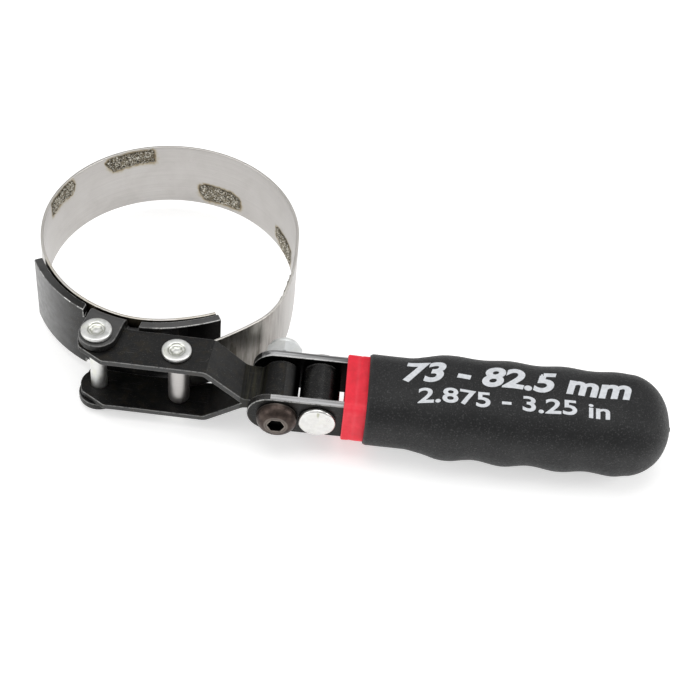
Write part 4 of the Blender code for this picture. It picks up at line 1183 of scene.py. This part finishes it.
rings = [sleeve_ring(SL0 + 0.5, 0.0, 0.0, 10.75, 7.4, 1.2), sleeve_ring(SL0 + 0.18, 0.04, 0.3, 10.85, 7.5, 1.3), sleeve_ring(SL0, 0.55, 0.9, SHY, SHZ, 2.4),
         sleeve_ring(SL0 + 0.03, 0.32, 1.0, SHY, SHZ, 2.4), sleeve_ring(SL0 + 0.16, 0.12, 0.8, SHY, SHZ, 2.4), sleeve_ring(SL0 + 0.42, 0.0, 0.1, SHY, SHZ, 2.4)]
x = SL0 + 0.8
while x < SL0 + 8.0:
    c = math.exp(-((x - (SL0 + 3.6)) / 0.5) ** 2)
    rings.append(sleeve_ring(x, 0.0, 0.45 * c, SHY, SHZ, 2.4))
    x += 0.35
SLE = SL1 - 9.0  # the dip ends short of the grip's round end
for x in (SL0 + 20, SL0 + 60, SLE - 0.3):
    rings.append(sleeve_ring(x, 0.0, 0.0, SHY, SHZ, 2.4))
rings.append(sleeve_ring(SLE, 0.3, 0.0, SHY, SHZ, 2.4))
rings.append(sleeve_ring(SLE, 0.0, 0.0, 10.85, 7.5, 1.3))
rings.append(sleeve_ring(SLE - 0.4, 0.0, 0.0, 10.75, 7.4, 1.2))
for a, b in zip(rings, rings[1:] + rings[:1]):
    for j in range(M):
        k = (j + 1) % M
        bm.faces.new((a[j], a[k], b[k], b[j]))
ob = to_object("red_collar", bm, RED, "handle", sharp=60.0)
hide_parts("handle_sleeve")

# ================================================================ grip
_lo, _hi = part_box("handle_grip")
G0, G_END = _lo.x / MM - OFF.x, _hi.x / MM - OFF.x
G1 = G_END - 0.6
GP = 2.6


def wave_at(x):
    return 0.45 * math.cos(2 * math.pi * (x - 94.8) / 17.6) * smooth((x - 84.0) / 8.0) * (1 - smooth((x - 147.0) / 8.0))


def grip_half(x):
    w = smooth((x - 81.0) / 11.0)
    wave = 0.45 * math.cos(2 * math.pi * (x - 94.8) / 17.6) * smooth((x - 84.0) / 8.0) * (1 - smooth((x - 147.0) / 8.0))
    return 14.3 + 1.8 * w + wave, 11.6 + 1.6 * w + wave


def grip_top(x, y):
    a, b = grip_half(x)
    return b * (1 - min(0.999, abs((y - HY) / a)) ** GP) ** (1 / GP)


bm = bmesh.new()
wear = bm.verts.layers.float.new("wear")
GN = 108


def grip_ring(x, a, b, p=GP, w=0.0, lump=0.0):
    ring = []
    for k in range(GN):
        t = 2 * math.pi * k / GN
        c, s = math.cos(t), math.sin(t)
        yy = a * math.copysign(abs(c) ** (2 / p), c)
        zz = b * math.copysign(abs(s) ** (2 / p), s)
        d = lump * noise.noise(Vector((x * 0.12, yy * 0.12, zz * 0.12)))
        if lump:
            near = math.cos(t - math.radians(223.0))
            d -= wave_at(x) * (lump / 0.16) * (0.28 - 0.28 * near)
            d -= 0.75 * (lump / 0.16) * smooth((x - 136.0) / 22.0) * max(0.0, near)
        n = Vector((yy / a, zz / b))
        n = n.normalized() if n.length > 0 else n
        v = bm.verts.new((x, HY + yy + n.x * d, zz + n.y * d))
        v[wear] = w
        ring.append(v)
    return ring


a, b = grip_half(G0)
rings = [grip_ring(154.6, 11.2, 8.0, 4.0), grip_ring(G0 + 0.9, 12.0, 8.6, 8.0), grip_ring(G0 + 0.3, 12.15, 8.75, 7.0, 0.2), grip_ring(G0, 12.6, 9.3, 5.0, 0.5)]
rings += [grip_ring(G0 + 0.02, a - 0.75, b - 0.75, 3.0, 0.7), grip_ring(G0 + 0.18, a - 0.36, b - 0.36, GP, 1.0), grip_ring(G0 + 0.45, a - 0.13, b - 0.13, GP, 0.8), grip_ring(G0 + 0.95, a, b, GP, 0.1)]
x = G0 + 1.8
XR = G1 - 13.0
while x < XR - 0.3:
    rings.append(grip_ring(x, *grip_half(x), GP, 0.0, 0.16))
    x += 0.9
a, b = grip_half(XR)
for k in range(0, 22):
    ang = 84.0 * k / 21
    f = math.cos(math.radians(ang)) ** 0.92
    rings.append(grip_ring(XR + 13.0 * math.sin(math.radians(ang)), a * f, b * f, GP - 0.3 * k / 21, 0.0, 0.16 * f))
rings.append(grip_ring(G1 - 0.06, 1.5, 1.5, 2.0, 0.3))
rings.append(grip_ring(G1 + 0.12, 1.12, 1.12, 2.0, 0.2))
rings.append(grip_ring(G_END - 0.2, 0.98, 0.98, 2.0, 0.4))
rings.append(grip_ring(G_END, 0.75, 0.75, 2.0, 0.6))
for p, q in zip(rings[:-1], rings[1:]):
    for j in range(GN):
        k = (j + 1) % GN
        bm.faces.new((p[j], p[k], q[k], q[j]))
bm.faces.new(rings[0])
bm.faces.new(rings[-1])
ob = to_object("grip_cover", bm, GRIP, "handle", sharp=60.0)
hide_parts("handle_grip")


# ---------------------------------------------------------------- size marks printed on the grip
def printed(name, text, x0, x1, y_base, height, bold, lean=0.0):
    """Text laid over the top of the grip as a thin skin of ink."""
    cu = bpy.data.curves.new(name, "FONT")
    cu.body = text
    cu.size = 10.0
    cu.resolution_u = 6
    cu.offset = bold
    cu.shear = lean
    tmp = bpy.data.objects.new(name + "_tmp", cu)
    bpy.context.scene.collection.objects.link(tmp)
    bpy.context.view_layer.update()
    ev = tmp.evaluated_get(bpy.context.evaluated_depsgraph_get())
    bm = bmesh.new()
    bm.from_mesh(ev.to_mesh())
    ev.to_mesh_clear()
    bpy.data.objects.remove(tmp, do_unlink=True)
    bpy.data.curves.remove(cu)
    xs = [v.co.x for v in bm.verts]
    ys = [v.co.y for v in bm.verts]
    kx = (x1 - x0) / (max(xs) - min(xs))
    ky = height / 7.0
    mx = min(xs)
    for v in bm.verts:
        v.co = Vector((x0 + (v.co.x - mx) * kx, y_base + v.co.y * ky, 0))
    bmesh.ops.remove_doubles(bm, verts=bm.verts, dist=0.001)
    x = x0
    while x < x1:
        bmesh.ops.bisect_plane(bm, geom=bm.verts[:] + bm.edges[:] + bm.faces[:], plane_co=(x, 0, 0), plane_no=(1, 0, 0))
        x += 1.4
    y = y_base - 2.5
    while y < y_base + height + 2:
        bmesh.ops.bisect_plane(bm, geom=bm.verts[:] + bm.edges[:] + bm.faces[:], plane_co=(0, y, 0), plane_no=(0, 1, 0))
        y += 0.6
    bmesh.ops.triangulate(bm, faces=bm.faces)
    for v in bm.verts:
        v.co.z = grip_top(v.co.x, v.co.y) - wave_at(v.co.x) * 0.40 + 0.16 * noise.noise(Vector((v.co.x * 0.12, (v.co.y - HY) * 0.12, grip_top(v.co.x, v.co.y) * 0.12))) - 0.12
    res = bmesh.ops.extrude_face_region(bm, geom=bm.faces[:])
    for v in [g for g in res["geom"] if isinstance(g, bmesh.types.BMVert)]:
        v.co.z += 0.12 + 0.05
    return to_object(name, bm, INK, "handle", sharp=40.0)


printed("size_mark_mm", "73 - 82.5 mm", 79.0, 149.5, HY - 0.9, 7.9, 0.34, 0.22)
printed("size_mark_in", "2.875 - 3.25 in", 84.0, 142.5, HY - 8.6, 4.9, 0.20)

# ================================================================ floor, light and camera
bm = bmesh.new()
bmesh.ops.create_grid(bm, x_segments=24, y_segments=24, size=2.5)
me = bpy.data.meshes.new("floor")
bm.to_mesh(me)
bm.free()
me.materials.append(make_floor())
floor = bpy.data.objects.new("floor", me)
floor.location = (0, 0, CAD_BOX[0][2] - 0.0002)
bpy.context.scene.collection.objects.link(floor)

w = bpy.data.worlds.new("studio")
w.use_nodes = True
bg = w.node_tree.nodes["Background"]
bg.inputs[0].default_value = (1.0, 1.0, 1.0, 1)
bg.inputs[1].default_value = 0.42
bpy.context.scene.world = w


def softbox(name, at, aim, size, power, colour=(1, 1, 1)):
    li = bpy.data.lights.new(name, "AREA")
    li.shape = "RECTANGLE"
    li.size, li.size_y = size
    li.energy = power
    li.color = colour
    ob = bpy.data.objects.new(name, li)
    ob.location = at
    ob.rotation_euler = (Vector(aim) - Vector(at)).to_track_quat("-Z", "Y").to_euler()
    bpy.context.scene.collection.objects.link(ob)


softbox("top_box", (-0.05, 0.10, 0.85), (0, 0, 0), (0.9, 0.7), 3.6)
softbox("left_box", (-0.75, -0.35, 0.45), (-0.03, 0, 0), (0.5, 0.5), 1.8)
softbox("right_box", (0.85, -0.10, 0.50), (0.03, 0, 0), (0.35, 0.5), 2.2)

cam = bpy.data.cameras.new("camera")
cam.sensor_fit = "HORIZONTAL"
cam.sensor_width = 36.0
cam.lens = 78.74
cam.clip_start = 0.01
cam.clip_end = 20.0
cam_ob = bpy.data.objects.new("camera", cam)
m = Matrix(((0.99463, -0.10215, -0.01622), (0.06410, 0.73186, -0.67845), (0.08117, 0.67378, 0.73448))).to_4x4()
m.translation = (-0.00654, -0.353075, 0.3760)
cam_ob.matrix_world = m
bpy.context.scene.collection.objects.link(cam_ob)
bpy.context.scene.camera = cam_ob
bpy.context.scene.view_settings.view_transform = "Standard"
